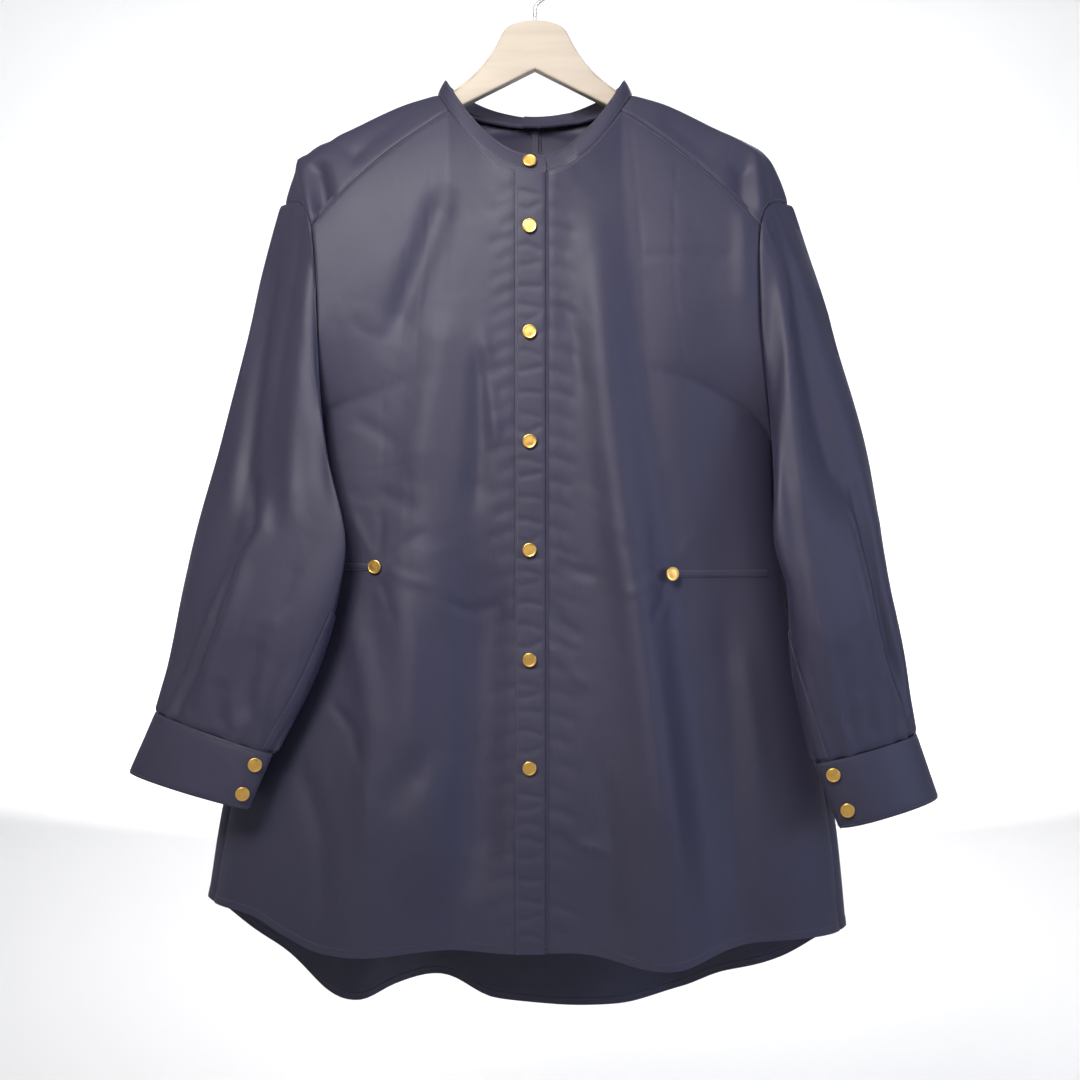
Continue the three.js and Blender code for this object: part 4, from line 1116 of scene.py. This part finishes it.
class SHIRT_OT_back(bpy.types.Operator):
    """Hangs the back panel with its folds and dipping hem"""

    bl_idname = "shirt.back"
    bl_label = "Back panel"

    def execute(self, context):
        step = context.scene.shirt_cloth.detail * 1000 * 1.15
        rows, cols = int(700 / step), int(300 / step)
        left = grid_of(rows, cols, lambda a, b: panel_point("left", False, 0, a, b))
        right = grid_of(rows, cols, lambda a, b: panel_point("right", False, 0, a, b))
        grid = np.concatenate([left[:, :0:-1], right], axis=1)
        grid, _ = drape(grid, -1, BACK_CREASES, swell=1.0, scale=60, seed=5, behind=True)
        away = edge_distances(grid)
        shape = sewn_edges(away, top=(), last=PLAIN_SEAM, first=PLAIN_SEAM) + turned_hem(away["bottom"])
        grid = grid + facing(grid, -1) * shape[..., None]
        piece = cloth_object("back_panel", with_allowance(grid, -1, "top"), CLOTH, -1)
        finish_cloth(piece, "back", grid)
        stitch_rows(grid, -1, top=YOKE_STITCH, bottom=HEM_STITCH)
        self.stitch_inside(grid, edge_distances(grid)["bottom"])
        return {"FINISHED"}

    def stitch_inside(self, grid, gaps):
        """The hem's stitches on the inside of the back, which shows under the front."""
        inside = grid - facing(grid, -1) * (CLOTH + 0.25)
        line = []
        for k in range(grid.shape[1]):
            order = np.argsort(gaps[:, k])
            line.append([np.interp(HEM_STITCH, gaps[:, k][order], inside[:, k][order][:, i]) for i in range(3)])
        keep_stitches(line, np.zeros(3))


class SHIRT_OT_yokes(bpy.types.Operator):
    """Lays the two yokes over the hanger's arms"""

    bl_idname = "shirt.yokes"
    bl_label = "Yokes"

    def execute(self, context):
        step = context.scene.shirt_cloth.detail * 1000
        for side, creases in (("left", LEFT_YOKE_CREASES), ("right", RIGHT_YOKE_CREASES)):
            turn = -sign_of(side)
            rows, cols = int(230 / step), int(170 / step)
            grid = grid_of(rows, cols, lambda a, b: yoke_point(side, a, 2 * b - 1))
            away = edge_distances(grid)
            grid, normal = drape(grid, turn, creases, swell=0.5, scale=50, seed=12 + sign_of(side))
            shape = sewn_edges(away, top=PLAIN_SEAM, bottom=PLAIN_SEAM, last=PLAIN_SEAM, first=SOFT_SEAM)
            grid = grid + normal * shape[..., None]
            sewn = with_allowance(grid, turn, "last")
            reach, depth = (8, 2.0) if side == "left" else (5, 3.3)
            sewn = with_allowance(sewn, turn, "first", reach, depth)
            piece = cloth_object("shoulder_yoke_" + side, sewn, CLOTH, turn)
            finish_cloth(piece, "yoke_" + side, grid)
            stitch_rows(grid, turn, top=EDGE_STITCH, bottom=EDGE_STITCH, last=2.6)
        return {"FINISHED"}


class SHIRT_OT_plackets(bpy.types.Operator):
    """Sews the upper and lower button plackets"""

    bl_idname = "shirt.plackets"
    bl_label = "Front plackets"

    def execute(self, context):
        for name, cad_node, left, right, rise, stitched in (
            ("placket_upper", "placket_over", OVER_LEFT, OVER_RIGHT, PLACKET_RISE, True),
            ("placket_lower", "placket_under", UNDER_LEFT, UNDER_RIGHT, 0, False),
        ):
            def at(a, b):
                x = mix(left, right, a)
                top = front_top("left" if x < 0 else "right", x)
                z = mix(top[2] - SEAM * 1.5, FRONT_HEM.read("z", x), b)
                settle = (top[1] + BODY_DEPTH.read("front", top[2])) * math.exp(-b * 9)
                y = -BODY_DEPTH.read("front", z) + settle - fold_rise(FRONT_FOLDS, x, z) * smooth(b * 8)
                return x, y - rise, z

            creases, swell = (self.puckers(), 0.25) if stitched else ([], 0.05)
            grid, normal = drape(grid_of(330, 14, at), 1, creases, swell=swell, scale=30, seed=21)
            other_line = NO_LINE if stitched else 2.4
            shape = sewn_edges(edge_distances(grid), first=(0.5, 2.4, 0.25), last=(0.5, other_line))
            grid = grid + normal * shape[..., None]
            piece = cloth_object(name, grid, FACED if stitched else 1.4, 1)
            finish_cloth(piece, cad_node, grid)
            if stitched:
                stitch_rows(grid, 1, first=2.4, bottom=HEM_STITCH)
        return {"FINISHED"}

    def puckers(self):
        """Small creases across the upper placket, from its stitches to its free edge."""
        creases = []
        y, k = 190.0, 1
        while y < 940:
            line = (516, y), (528, y + 3 * math.sin(k)), (545, y + 7 * math.sin(k * 2.1))
            creases.append((3.0, -0.32 - 0.2 * abs(math.sin(k * 1.9)), *line))
            y += 13 + 8 * abs(math.sin(k * 2.7))
            k += 1
        return creases


class SHIRT_OT_collar(bpy.types.Operator):
    """Sews the two halves of the band collar, which lap at the front and at the nape"""

    bl_idname = "shirt.collar"
    bl_label = "Band collar"

    def execute(self, context):
        for side in ("left", "right"):
            sign = sign_of(side)
            upper = side == "left"
            front, nape = (BAND_END, -SEAM) if upper else (BAND_UNDER, BACK_LAP)
            start = math.asin(-front / NECK_SEAM["half"])
            end = math.pi + math.asin(nape / NECK_SEAM["half"])
            tuck = (FACED + 0.45) * 1.5

            def at(a, b):
                angle = mix(start, end, a)
                corner = 1.0
                if upper and a < 0.03:
                    corner = math.sqrt(max(0.0, 1 - (1 - a / 0.03) ** 2)) * 0.35 + 0.65
                low = SEAM / (NECK_TOP["side"] - NECK_SEAM["side"])
                x, y, z = neck(angle, mix(corner, low, b))
                near = smooth((abs(math.cos(angle)) - 0.9) / 0.06) if abs(math.cos(angle)) > 0.9 else 0
                if not upper:
                    y -= math.copysign(tuck * near, y)
                return sign * x, y, z

            grid, normal = drape(grid_of(12, 240, at), sign, [], swell=0.35, scale=26, seed=30 + sign)
            away = edge_distances(grid)
            shape = sewn_edges(away, top=FACED_EDGE, bottom=FACED_FOOT)
            shape += 0.25 * np.sin(np.clip(away["top"] / (away["top"] + away["bottom"]), 0, 1) * math.pi)
            grid = grid + normal * shape[..., None]
            sewn = with_allowance(grid, sign, "bottom", 7, 1.7)
            piece = cloth_object("collar_band_" + side, sewn, FACED, sign)
            finish_cloth(piece, "collar_" + side, sewn)
            stitch_rows(grid, sign, top=EDGE_STITCH, bottom=EDGE_STITCH)
        return {"FINISHED"}


def ring_angle(share):
    turn = share * math.pi * 2
    return turn - 0.2 * math.sin(turn)


class SHIRT_OT_sleeves(bpy.types.Operator):
    """Sets the sleeves into the armholes, with their long folds and slit plackets"""

    bl_idname = "shirt.sleeves"
    bl_label = "Sleeves"

    def execute(self, context):
        step = context.scene.shirt_cloth.detail * 1000 * 1.1
        rows, cols = int(500 / step), int(360 / step)
        for side, creases in (("left", LEFT_SLEEVE_CREASES), ("right", RIGHT_SLEEVE_CREASES)):
            turn = -sign_of(side)
            base = self.tube(side, rows, cols)
            normal = facing(base, turn, True)
            rise = self.folds(side, base, normal, creases) + self.gathers(rows, cols)
            grid = base + normal * rise[..., None]
            grid = np.array([[self.outside_body(side, p) for p in row] for row in grid])
            away = {"top": lengths(grid, 0)}
            away["bottom"] = away["top"][-1:] - away["top"]
            shape = sewn_edges(away, top=(0.8, NO_LINE), bottom=(1.0, NO_LINE))
            grid = grid + facing(grid, turn, True) * shape[..., None]
            piece = cloth_object("set_in_sleeve_" + side, grid, CLOTH, turn, round_=True)
            finish_cloth(piece, "sleeve_" + side, grid, round_=True)
            self.slit_placket(side, grid, turn, rows, cols)
        return {"FINISHED"}

    def tube(self, side, rows, cols):
        """The smooth sleeve, which laps over the front panel at the armhole."""
        points = []
        for i in range(rows + 1):
            parted = 1 - smooth(i / rows * 12)
            row = []
            for j in range(cols):
                angle = ring_angle(j / cols)
                x, y, z = sleeve_point(side, i / rows, angle)
                y -= SLEEVE_LAP * parted * math.sqrt(max(0.0, math.sin(angle)))
                row.append((sign_of(side) * (x + SEAM * 1.5 * parted), y, z - SEAM * 1.5 * parted))
            points.append(row)
        return np.array(points)

    def folds(self, side, base, normal, creases):
        """The drawn folds of front and back with a slow swelling, none of it at the armhole."""
        rows, cols = base.shape[0] - 1, base.shape[1]
        u, v = picture_plane(base)
        front = np.clip(-normal[..., 1] * 2.5 + 0.6, 0, 1)
        rise = crease_field(u, v, deeper(creases, 1.15)) * front
        mirrored = PICTURE - u if side == "right" else u
        rise += crease_field(mirrored, v, SLEEVE_BACK_CREASES) * (1 - front)
        turns = np.linspace(0, 2 * math.pi, cols, endpoint=False)[None, :] + np.zeros((rows + 1, 1))
        down = np.linspace(0, 480, rows + 1)[:, None] + np.zeros((1, cols))
        around = np.cos(turns) * 55 + np.sin(turns) * 31
        rise += 1.1 * ripple(around, down * 0.4, 42, 40 + sign_of(side))
        return rise * np.array([smooth(k / rows * 5) for k in range(rows + 1)])[:, None]

    def gathers(self, rows, cols):
        """The waves where the sleeve is gathered into the cuff and eased into the armhole."""
        turns = 2 * math.pi * np.arange(cols) / cols
        angles = (turns - 0.2 * np.sin(turns))[None, :]
        down = np.linspace(0, 1, rows + 1)[:, None]
        cuff_waves = 1.1 * np.sin(angles * 11) + 0.8 * np.sin(angles * 17 + math.radians(40))
        head_waves = np.sin(angles * 24) * (np.cos(angles) > 0.3)
        rise = np.clip(1 - (1 - down) / 0.09, 0, 1) * cuff_waves * 0.8
        return rise + np.clip(1 - down / 0.07, 0, 1) * down * 25 * 0.6 * head_waves

    def outside_body(self, side, place):
        x, y, z = place
        x, y, z = clear_of_body(side, [abs(x), y, z])
        return [sign_of(side) * x, y, z]

    def slit_placket(self, side, tube, turn, rows, cols):
        slit = SLEEVE_SLIT[side]
        normals = facing(tube, turn, True)
        angles = [math.degrees(ring_angle(j / cols)) for j in range(cols)]

        def at(a, b):
            s = mix(slit.at[0], 0.992, b)
            degrees = mix(slit.read("start", s), slit.read("end", s), a)
            share = np.interp(degrees, angles, np.arange(cols))
            col, row = int(share), min(int(s * rows), rows - 1)
            right, down = share - col, s * rows - row
            nxt = (col + 1) % cols

            def blend(table):
                top = mix(table[row, col], table[row, nxt], right)
                return mix(top, mix(table[row + 1, col], table[row + 1, nxt], right), down)

            edge = min(a, 1 - a, b * 4) * 10
            return blend(tube) + blend(normals) * (0.9 + 0.6 * smooth(edge))

        grid = grid_of(70, 12, at)
        piece = cloth_object("slit_placket_" + side, grid, 0.8, turn)
        finish_cloth(piece, "sleeve_placket_" + side, grid)
        stitch_rows(grid, turn, first=1.4)


class SHIRT_OT_cuffs(bpy.types.Operator):
    """Buttons the deep cuffs round the sleeves' ends"""

    bl_idname = "shirt.cuffs"
    bl_label = "Cuffs"

    def execute(self, context):
        for side in ("left", "right"):
            turn = -sign_of(side)
            full = 360 + CUFF_END - CUFF_START

            def at(a, b):
                degrees = CUFF_START + a * full
                tuck = (1 - smooth((degrees - 205) / 40)) * (FACED + 0.85)
                return cuff_point(side, degrees, mix(0.006, 1, b), 0.6 - tuck)

            grid, normal = drape(grid_of(20, 200, at), turn, [], swell=0.55, scale=24, seed=50 + turn)
            shape = sewn_edges(
                edge_distances(grid), top=FACED_FOOT, bottom=FACED_FOOT, last=FACED_EDGE, first=(0.4, NO_LINE))
            grid = grid + normal * shape[..., None]
            piece = cloth_object("deep_cuff_" + side, grid, FACED, turn)
            finish_cloth(piece, "cuff_" + side, grid)
            stitch_rows(grid, turn, top=EDGE_STITCH, bottom=EDGE_STITCH, last=EDGE_STITCH)
        return {"FINISHED"}


class SHIRT_OT_stitches(bpy.types.Operator):
    """Sews stitches along every remembered line"""

    bl_idname = "shirt.stitches"
    bl_label = "Stitches"

    def tree(self):
        tree = bpy.data.node_groups.new("sew_line", "GeometryNodeTree")
        socket(tree, "Geometry", "INPUT", "NodeSocketGeometry")
        socket(tree, "Pitch", "INPUT", "NodeSocketFloat", default_value=0.0028, min_value=0.001)
        socket(tree, "Thread", "INPUT", "NodeSocketFloat", default_value=0.00032, min_value=0.0001)
        socket(tree, "Material", "INPUT", "NodeSocketMaterial")
        socket(tree, "Geometry", "OUTPUT", "NodeSocketGeometry")
        start, end = node(tree, "NodeGroupInput", -900, 0), node(tree, "NodeGroupOutput", 900, 0)
        link = tree.links.new
        curve = node(tree, "GeometryNodeMeshToCurve", -700, 0)
        link(start.outputs["Geometry"], curve.inputs["Mesh"])
        points = node(tree, "GeometryNodeCurveToPoints", -450, 0, mode="LENGTH")
        link(curve.outputs[0], points.inputs["Curve"])
        link(start.outputs["Pitch"], points.inputs["Length"])
        bar = node(tree, "GeometryNodeMeshCylinder", -450, -300)
        bar.inputs["Vertices"].default_value = 6
        link(start.outputs["Thread"], bar.inputs["Radius"])
        share = node(tree, "ShaderNodeMath", -650, -400, operation="MULTIPLY")
        share.inputs[1].default_value = 0.7
        link(start.outputs["Pitch"], share.inputs[0])
        link(share.outputs[0], bar.inputs["Depth"])
        aim = node(tree, "FunctionNodeAlignRotationToVector", -200, -150, axis="Z")
        link(points.outputs["Tangent"], aim.inputs["Vector"])
        place = node(tree, "GeometryNodeInstanceOnPoints", 50, 0)
        link(points.outputs["Points"], place.inputs["Points"])
        link(bar.outputs["Mesh"], place.inputs["Instance"])
        link(aim.outputs[0], place.inputs["Rotation"])
        real = node(tree, "GeometryNodeRealizeInstances", 300, 0)
        link(place.outputs[0], real.inputs[0])
        dress = node(tree, "GeometryNodeSetMaterial", 550, 0)
        link(real.outputs[0], dress.inputs["Geometry"])
        link(start.outputs["Material"], dress.inputs["Material"])
        link(dress.outputs[0], end.inputs["Geometry"])
        return tree

    def execute(self, context):
        places, edges = [], []
        for line in STITCH_LINES:
            first = len(places)
            places.extend((line * 0.001).tolist())
            edges.extend((k, k + 1) for k in range(first, len(places) - 1))
        mesh = bpy.data.meshes.new("stitch_paths")
        mesh.from_pydata(places, edges, [])
        paths = put_in_scene("stitch_paths", mesh)
        tree = self.tree()
        sew = paths.modifiers.new("sew", "NODES")
        sew.node_group = tree
        ids = {item.name: item.identifier for item in tree.interface.items_tree if item.in_out == "INPUT"}
        sew[ids["Pitch"]] = context.scene.shirt_trim.stitch
        sew[ids["Material"]] = bpy.data.materials["navy_thread"]
        ready = paths.evaluated_get(context.evaluated_depsgraph_get())
        result = bpy.data.meshes.new_from_object(ready)
        paths.modifiers.remove(sew)
        bpy.data.objects.remove(paths)
        dress(put_in_scene("topstitching", result), "navy_thread", "navy_cloth")
        return {"FINISHED"}


def lathe(profile, sides):
    """A closed turned shape about +Z from (radius, height) pairs, as vertices and faces."""
    rings = []
    for radius, height in profile:
        turns = [2 * math.pi * k / sides for k in range(sides if radius else 1)]
        rings.append([(radius * math.cos(w), radius * math.sin(w), height) for w in turns])
    starts = np.cumsum([0] + [len(ring) for ring in rings])
    faces = []
    for i in range(len(rings) - 1):
        here, above = len(rings[i]), len(rings[i + 1])
        for k in range(sides):
            n = (k + 1) % sides
            corners = [starts[i] + k % here, starts[i] + n % here,
                       starts[i + 1] + n % above, starts[i + 1] + k % above]
            faces.append(list(dict.fromkeys(corners)))
    return [p for ring in rings for p in ring], faces


def keep_mesh(mesh, name, sharp):
    """Turns an edited mesh into an object with its normals facing out."""
    bmesh.ops.recalc_face_normals(mesh, faces=mesh.faces)
    data = bpy.data.meshes.new(name)
    mesh.to_mesh(data)
    mesh.free()
    shade_smooth(data, sharp)
    return put_in_scene(name, data)


class SHIRT_OT_buttons(bpy.types.Operator):
    """Makes the flat gold buttons of the front, waist and cuffs"""

    bl_idname = "shirt.buttons"
    bl_label = "Buttons"

    def execute(self, context):
        radius = context.scene.shirt_trim.button * 500
        rim = [
            (0.5, 1.5), (0, 1.9), (0, 2.8), (0.18, 3.25), (0.6, 3.45), (0.95, 3.38), (1.2, 3.28), (1.8, 3.26),
        ]
        shank, face = [(0, 0.4), (1.8, 0.4), (1.8, 1.5)], [(2.5, 3.34), (0, 3.38)]
        shape, faces = lathe(shank + [(radius - inset, z) for inset, z in rim] + face, 40)
        groups = {
            "front_buttons": ["button_collar"] + ["button_front_%d" % k for k in range(1, 7)],
            "waist_buttons": ["button_waist_left", "button_waist_right"],
            "cuff_buttons": ["button_cuff_%s_%d" % (side, k) for side in ("left", "right") for k in (1, 2)],
        }
        for name, nodes in groups.items():
            mesh = bmesh.new()
            for button in nodes:
                middle, axis = self.stand(button)
                turn = axis.to_track_quat("Z", "Y")
                foot = Vector((0, 0, 1.9))
                made = [mesh.verts.new((middle + turn @ (Vector(p) - foot)) * 0.001) for p in shape]
                for corners in faces:
                    mesh.faces.new([made[k] for k in corners])
            dress(keep_mesh(mesh, name, 50), "satin_gold", "gold_button", *nodes)
        return {"FINISHED"}

    def stand(self, button):
        """The middle of a button's solid, and the way that its flat face looks."""
        points = np.array([v.co[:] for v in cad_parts[button].data.vertices]) * 1000
        spread = points - points.mean(axis=0)
        axis = Vector(np.linalg.eigh(spread.T @ spread)[1][:, 0])
        if axis.y > 0:
            axis.negate()
        return Vector(((points.max(axis=0) + points.min(axis=0)) / 2).tolist()), axis


HANGER_OUTLINE = [
    (0, -55), (8, -55.3), (15, -56.8), (21, -59), (26, -62.3), (29, -66.5), (31.5, -71.5), (35, -78),
    (40, -86), (46, -94), (53, -101.5), (61, -108.5), (70, -115.3), (84, -124),
]
HANGER_UNDER = [
    (195, -173), (199, -178), (201, -184), (200, -190), (196, -193), (188, -191.5), (61, -129),
    (30, -113.6), (0, -98.5),
]
HANGER_HALF_THICK = 6.0
HANGER_ROUND = 2.2
HOOK_WIRE = 1.6
HOOK_MIDDLE = 17 + HOOK_WIRE


class SHIRT_OT_hanger(bpy.types.Operator):
    """Shapes the flat wooden hanger and bends its hook"""

    bl_idname = "shirt.hanger"
    bl_label = "Hanger"

    def execute(self, context):
        ring = self.outline()
        ahead = np.roll(ring, -1, axis=0) - np.roll(ring, 1, axis=0)
        ahead /= np.linalg.norm(ahead, axis=1, keepdims=True)
        inward = np.stack([ahead[:, 1], -ahead[:, 0]], axis=1)
        mesh = bmesh.new()
        loops = []
        for way in (1, -1):
            for w in [math.radians(18 * k) for k in range(6)][::way]:
                spots = ring + inward * HANGER_ROUND * (1 - math.sin(w))
                y = way * (HANGER_ROUND * (1 - math.cos(w)) - HANGER_HALF_THICK)
                loops.append([mesh.verts.new((x * 0.001, y * 0.001, z * 0.001)) for x, z in spots])
        self.join(mesh, loops)
        caps = [mesh.faces.new(loops[0][::-1]), mesh.faces.new(loops[-1])]
        bmesh.ops.triangulate(mesh, faces=caps, ngon_method="EAR_CLIP")
        dress(keep_mesh(mesh, "hanger_arms", 40), "pale_wood", "hanger_wood", "hanger_wood")
        dress(keep_mesh(self.hook(), "wire_hook", 40), "bright_wire", "hook_wire", "hanger_hook")
        return {"FINISHED"}

    def outline(self):
        """The hanger's outline from the front, as a smooth curve through its corners."""
        arm = [(x, z - 4.2) for x, _, z in (ridge("right", k / 9) for k in (2, 3, 4, 5, 6))]
        corners = HANGER_OUTLINE + arm + HANGER_UNDER
        last = len(corners) - 1
        half = []
        for k in range(last):
            a, b, c, d = (Vector((*corners[max(0, min(last, k + step))], 0)) for step in (-1, 0, 1, 2))
            for t in (0.0, 0.25, 0.5, 0.75):
                spot = 0.5 * (2 * b + (c - a) * t + (2 * a - 5 * b + 4 * c - d) * t * t
                              + (3 * b - a - 3 * c + d) * t**3)
                half.append((spot.x, spot.y))
        half.append(corners[last])
        return np.array(half + [(-x, z) for x, z in half[-2:0:-1]])

    def join(self, mesh, rings):
        for one, two in zip(rings, rings[1:]):
            for k in range(len(one)):
                n = (k + 1) % len(one)
                mesh.faces.new((one[k], one[n], two[n], two[k]))

    def hook(self):
        """A bent wire: a straight foot in the wood, a short bend, and the round of the hook."""
        line = [Vector((0, 0, mix(-66.7, -44, t / 14))) for t in range(15)]
        join, tip = math.radians(-42), math.radians(196)

        def on_arc(angle):
            return Vector((HOOK_MIDDLE * math.cos(angle), 0, -17 + HOOK_MIDDLE * math.sin(angle)))

        p0, p3 = line[-1], on_arc(join)
        p1, p2 = Vector((0, 0, -38)), Vector((p3.x - 5.5, 0, p3.z - 6))
        for k in range(1, 20):
            t = k / 20
            line.append(p0 * (1 - t) ** 3 + p1 * 3 * t * (1 - t) ** 2 + p2 * 3 * t * t * (1 - t) + p3 * t**3)
        line += [on_arc(mix(join, tip, k / 60)) for k in range(61)]
        mesh = bmesh.new()
        rings = []
        forward = Vector((0, 1, 0))
        for k, spot in enumerate(line):
            ahead = line[min(k + 1, len(line) - 1)] - line[max(k - 1, 0)]
            side = ahead.normalized().cross(forward)
            rings.append([
                mesh.verts.new((spot + (side * math.cos(w) + forward * math.sin(w)) * HOOK_WIRE) * 0.001)
                for w in (2 * math.pi * m / 14 for m in range(14))
            ])
        self.join(mesh, rings)
        mesh.faces.new(rings[0][::-1])
        end = mesh.faces.new(rings[-1])
        bmesh.ops.bevel(mesh, geom=list(end.edges), offset=0.0006, segments=3, profile=0.5, affect="EDGES")
        return mesh


# Floor and backdrop in one: radius and height above the floor, in metres
BOWL = [
    (0.0, 0.0), (1.9, 0.0), (2.6, 0.05), (3.3, 0.2), (4.0, 0.5), (4.6, 0.95), (5.1, 1.55), (5.5, 2.3),
    (5.7, 3.2), (5.8, 6.0),
]
WHITE = (1.0, 1.0, 1.0)


class SHIRT_OT_studio(bpy.types.Operator):
    """Sets up the pale studio, its lights and the camera"""

    bl_idname = "shirt.studio"
    bl_label = "Studio"

    def execute(self, context):
        settings = context.scene.shirt_studio
        scene = context.scene
        scene.view_settings.view_transform = "Standard"
        places, faces = [], []
        for radius, height in BOWL:
            for k in range(64):
                w = 2 * math.pi * k / 64
                places.append((radius * math.cos(w), radius * math.sin(w), settings.floor + height))
        for i in range(len(BOWL) - 1):
            for k in range(64):
                n = (k + 1) % 64
                faces.append((i * 64 + k, i * 64 + n, (i + 1) * 64 + n, (i + 1) * 64 + k))
        data = bpy.data.meshes.new("studio_bowl")
        data.from_pydata(places, [], faces)
        data.polygons.foreach_set("use_smooth", np.ones(len(data.polygons), dtype=bool))
        bowl = put_in_scene("studio_bowl", data)
        pale = bpy.data.materials.new("studio_white")
        pale.use_nodes = True
        shader = pale.node_tree.nodes["Principled BSDF"]
        shader.inputs["Base Color"].default_value = (0.88, 0.88, 0.88, 1)
        shader.inputs["Roughness"].default_value = 0.9
        data.materials.append(pale)

        world = bpy.data.worlds.new("soft_room")
        scene.world = world
        world.use_nodes = True
        world.node_tree.nodes["Background"].inputs[0].default_value = (0.97, 0.98, 1.0, 1)
        world.node_tree.nodes["Background"].inputs[1].default_value = 0.17

        room, middle = settings.room, (0, 0, -0.5)
        pool = self.light("pool", (-0.4, -1.3, 0.35), (-0.01, 0, -0.36), settings.pool, 0.5, (1.0, 0.97, 0.97))
        pool.spread = math.radians(58)
        self.light("wide", (-1.2, -1.9, 1.0), middle, room * 0.11, 0.8, (1.0, 0.96, 0.94))
        self.light("cool_side", (2.1, -1.2, -0.1), (0.05, 0, -0.55), settings.fill, 0.9, (0.5, 0.62, 1.0))
        self.light("top", (0.2, -0.4, 1.9), (0, 0, -0.4), room * 0.16, 1.2, WHITE)
        self.light("floor", (0, 2.6, 0.4), (0, 2.9, -1.45), room * 0.35, 2.4, WHITE)
        self.light("behind", (0.6, 2.6, 0.8), middle, room * 0.45, 1.6, (1.0, 0.98, 0.96))
        self.light("wall", (0, 3.0, 0.6), (0, 6.5, 0.2), room * 1.6, 3.0, WHITE)

        camera = bpy.data.cameras.new("camera")
        camera.lens = 50.56
        camera.sensor_width = 36
        camera.clip_end = 50
        view = put_in_scene("camera", camera)
        view.location = (CAMERA_X * 0.001, -CAMERA_AWAY * 0.001, CAMERA_Z * 0.001)
        view.rotation_euler = (math.pi / 2, 0, 0)
        scene.camera = view
        return {"FINISHED"}

    def light(self, name, place, target, power, size, colour):
        data = bpy.data.lights.new(name, "AREA")
        data.shape = "SQUARE"
        data.size = size
        data.energy = power
        data.color = colour
        lamp = put_in_scene(name, data)
        lamp.location = place
        lamp.rotation_euler = (Vector(target) - Vector(place)).to_track_quat("-Z", "Y").to_euler()
        lamp.visible_camera = False
        return data


class SHIRT_PT_sidebar(bpy.types.Panel):
    """Lists the shirt's settings and the steps that build it"""

    bl_idname = "SHIRT_PT_sidebar"
    bl_label = "Hanging shirt"
    bl_space_type = "VIEW_3D"
    bl_region_type = "UI"
    bl_category = "Shirt"

    def draw(self, context):
        for group in ("shirt_cloth", "shirt_trim", "shirt_studio"):
            settings = getattr(context.scene, group)
            box = self.layout.box()
            for name in settings.__annotations__:
                box.prop(settings, name)
        for step in STEPS:
            self.layout.operator(step.bl_idname)


SETTINGS = {"shirt_cloth": ClothSettings, "shirt_trim": TrimSettings, "shirt_studio": StudioSettings}
STEPS = (
    SHIRT_OT_studio, SHIRT_OT_materials, SHIRT_OT_hanger, SHIRT_OT_yokes, SHIRT_OT_fronts, SHIRT_OT_back,
    SHIRT_OT_plackets, SHIRT_OT_collar, SHIRT_OT_sleeves, SHIRT_OT_cuffs, SHIRT_OT_buttons, SHIRT_OT_stitches,
)


def register():
    for kind in (*SETTINGS.values(), *STEPS, SHIRT_PT_sidebar):
        bpy.utils.register_class(kind)
    for name, kind in SETTINGS.items():
        setattr(bpy.types.Scene, name, bpy.props.PointerProperty(type=kind))


def unregister():
    for name in SETTINGS:
        delattr(bpy.types.Scene, name)
    for kind in (SHIRT_PT_sidebar, *reversed(STEPS), *SETTINGS.values()):
        bpy.utils.unregister_class(kind)


def main():
    register()
    for step in STEPS:
        family, name = step.bl_idname.split(".")
        getattr(getattr(bpy.ops, family), name)()


if __name__ == "__main__":
    main()
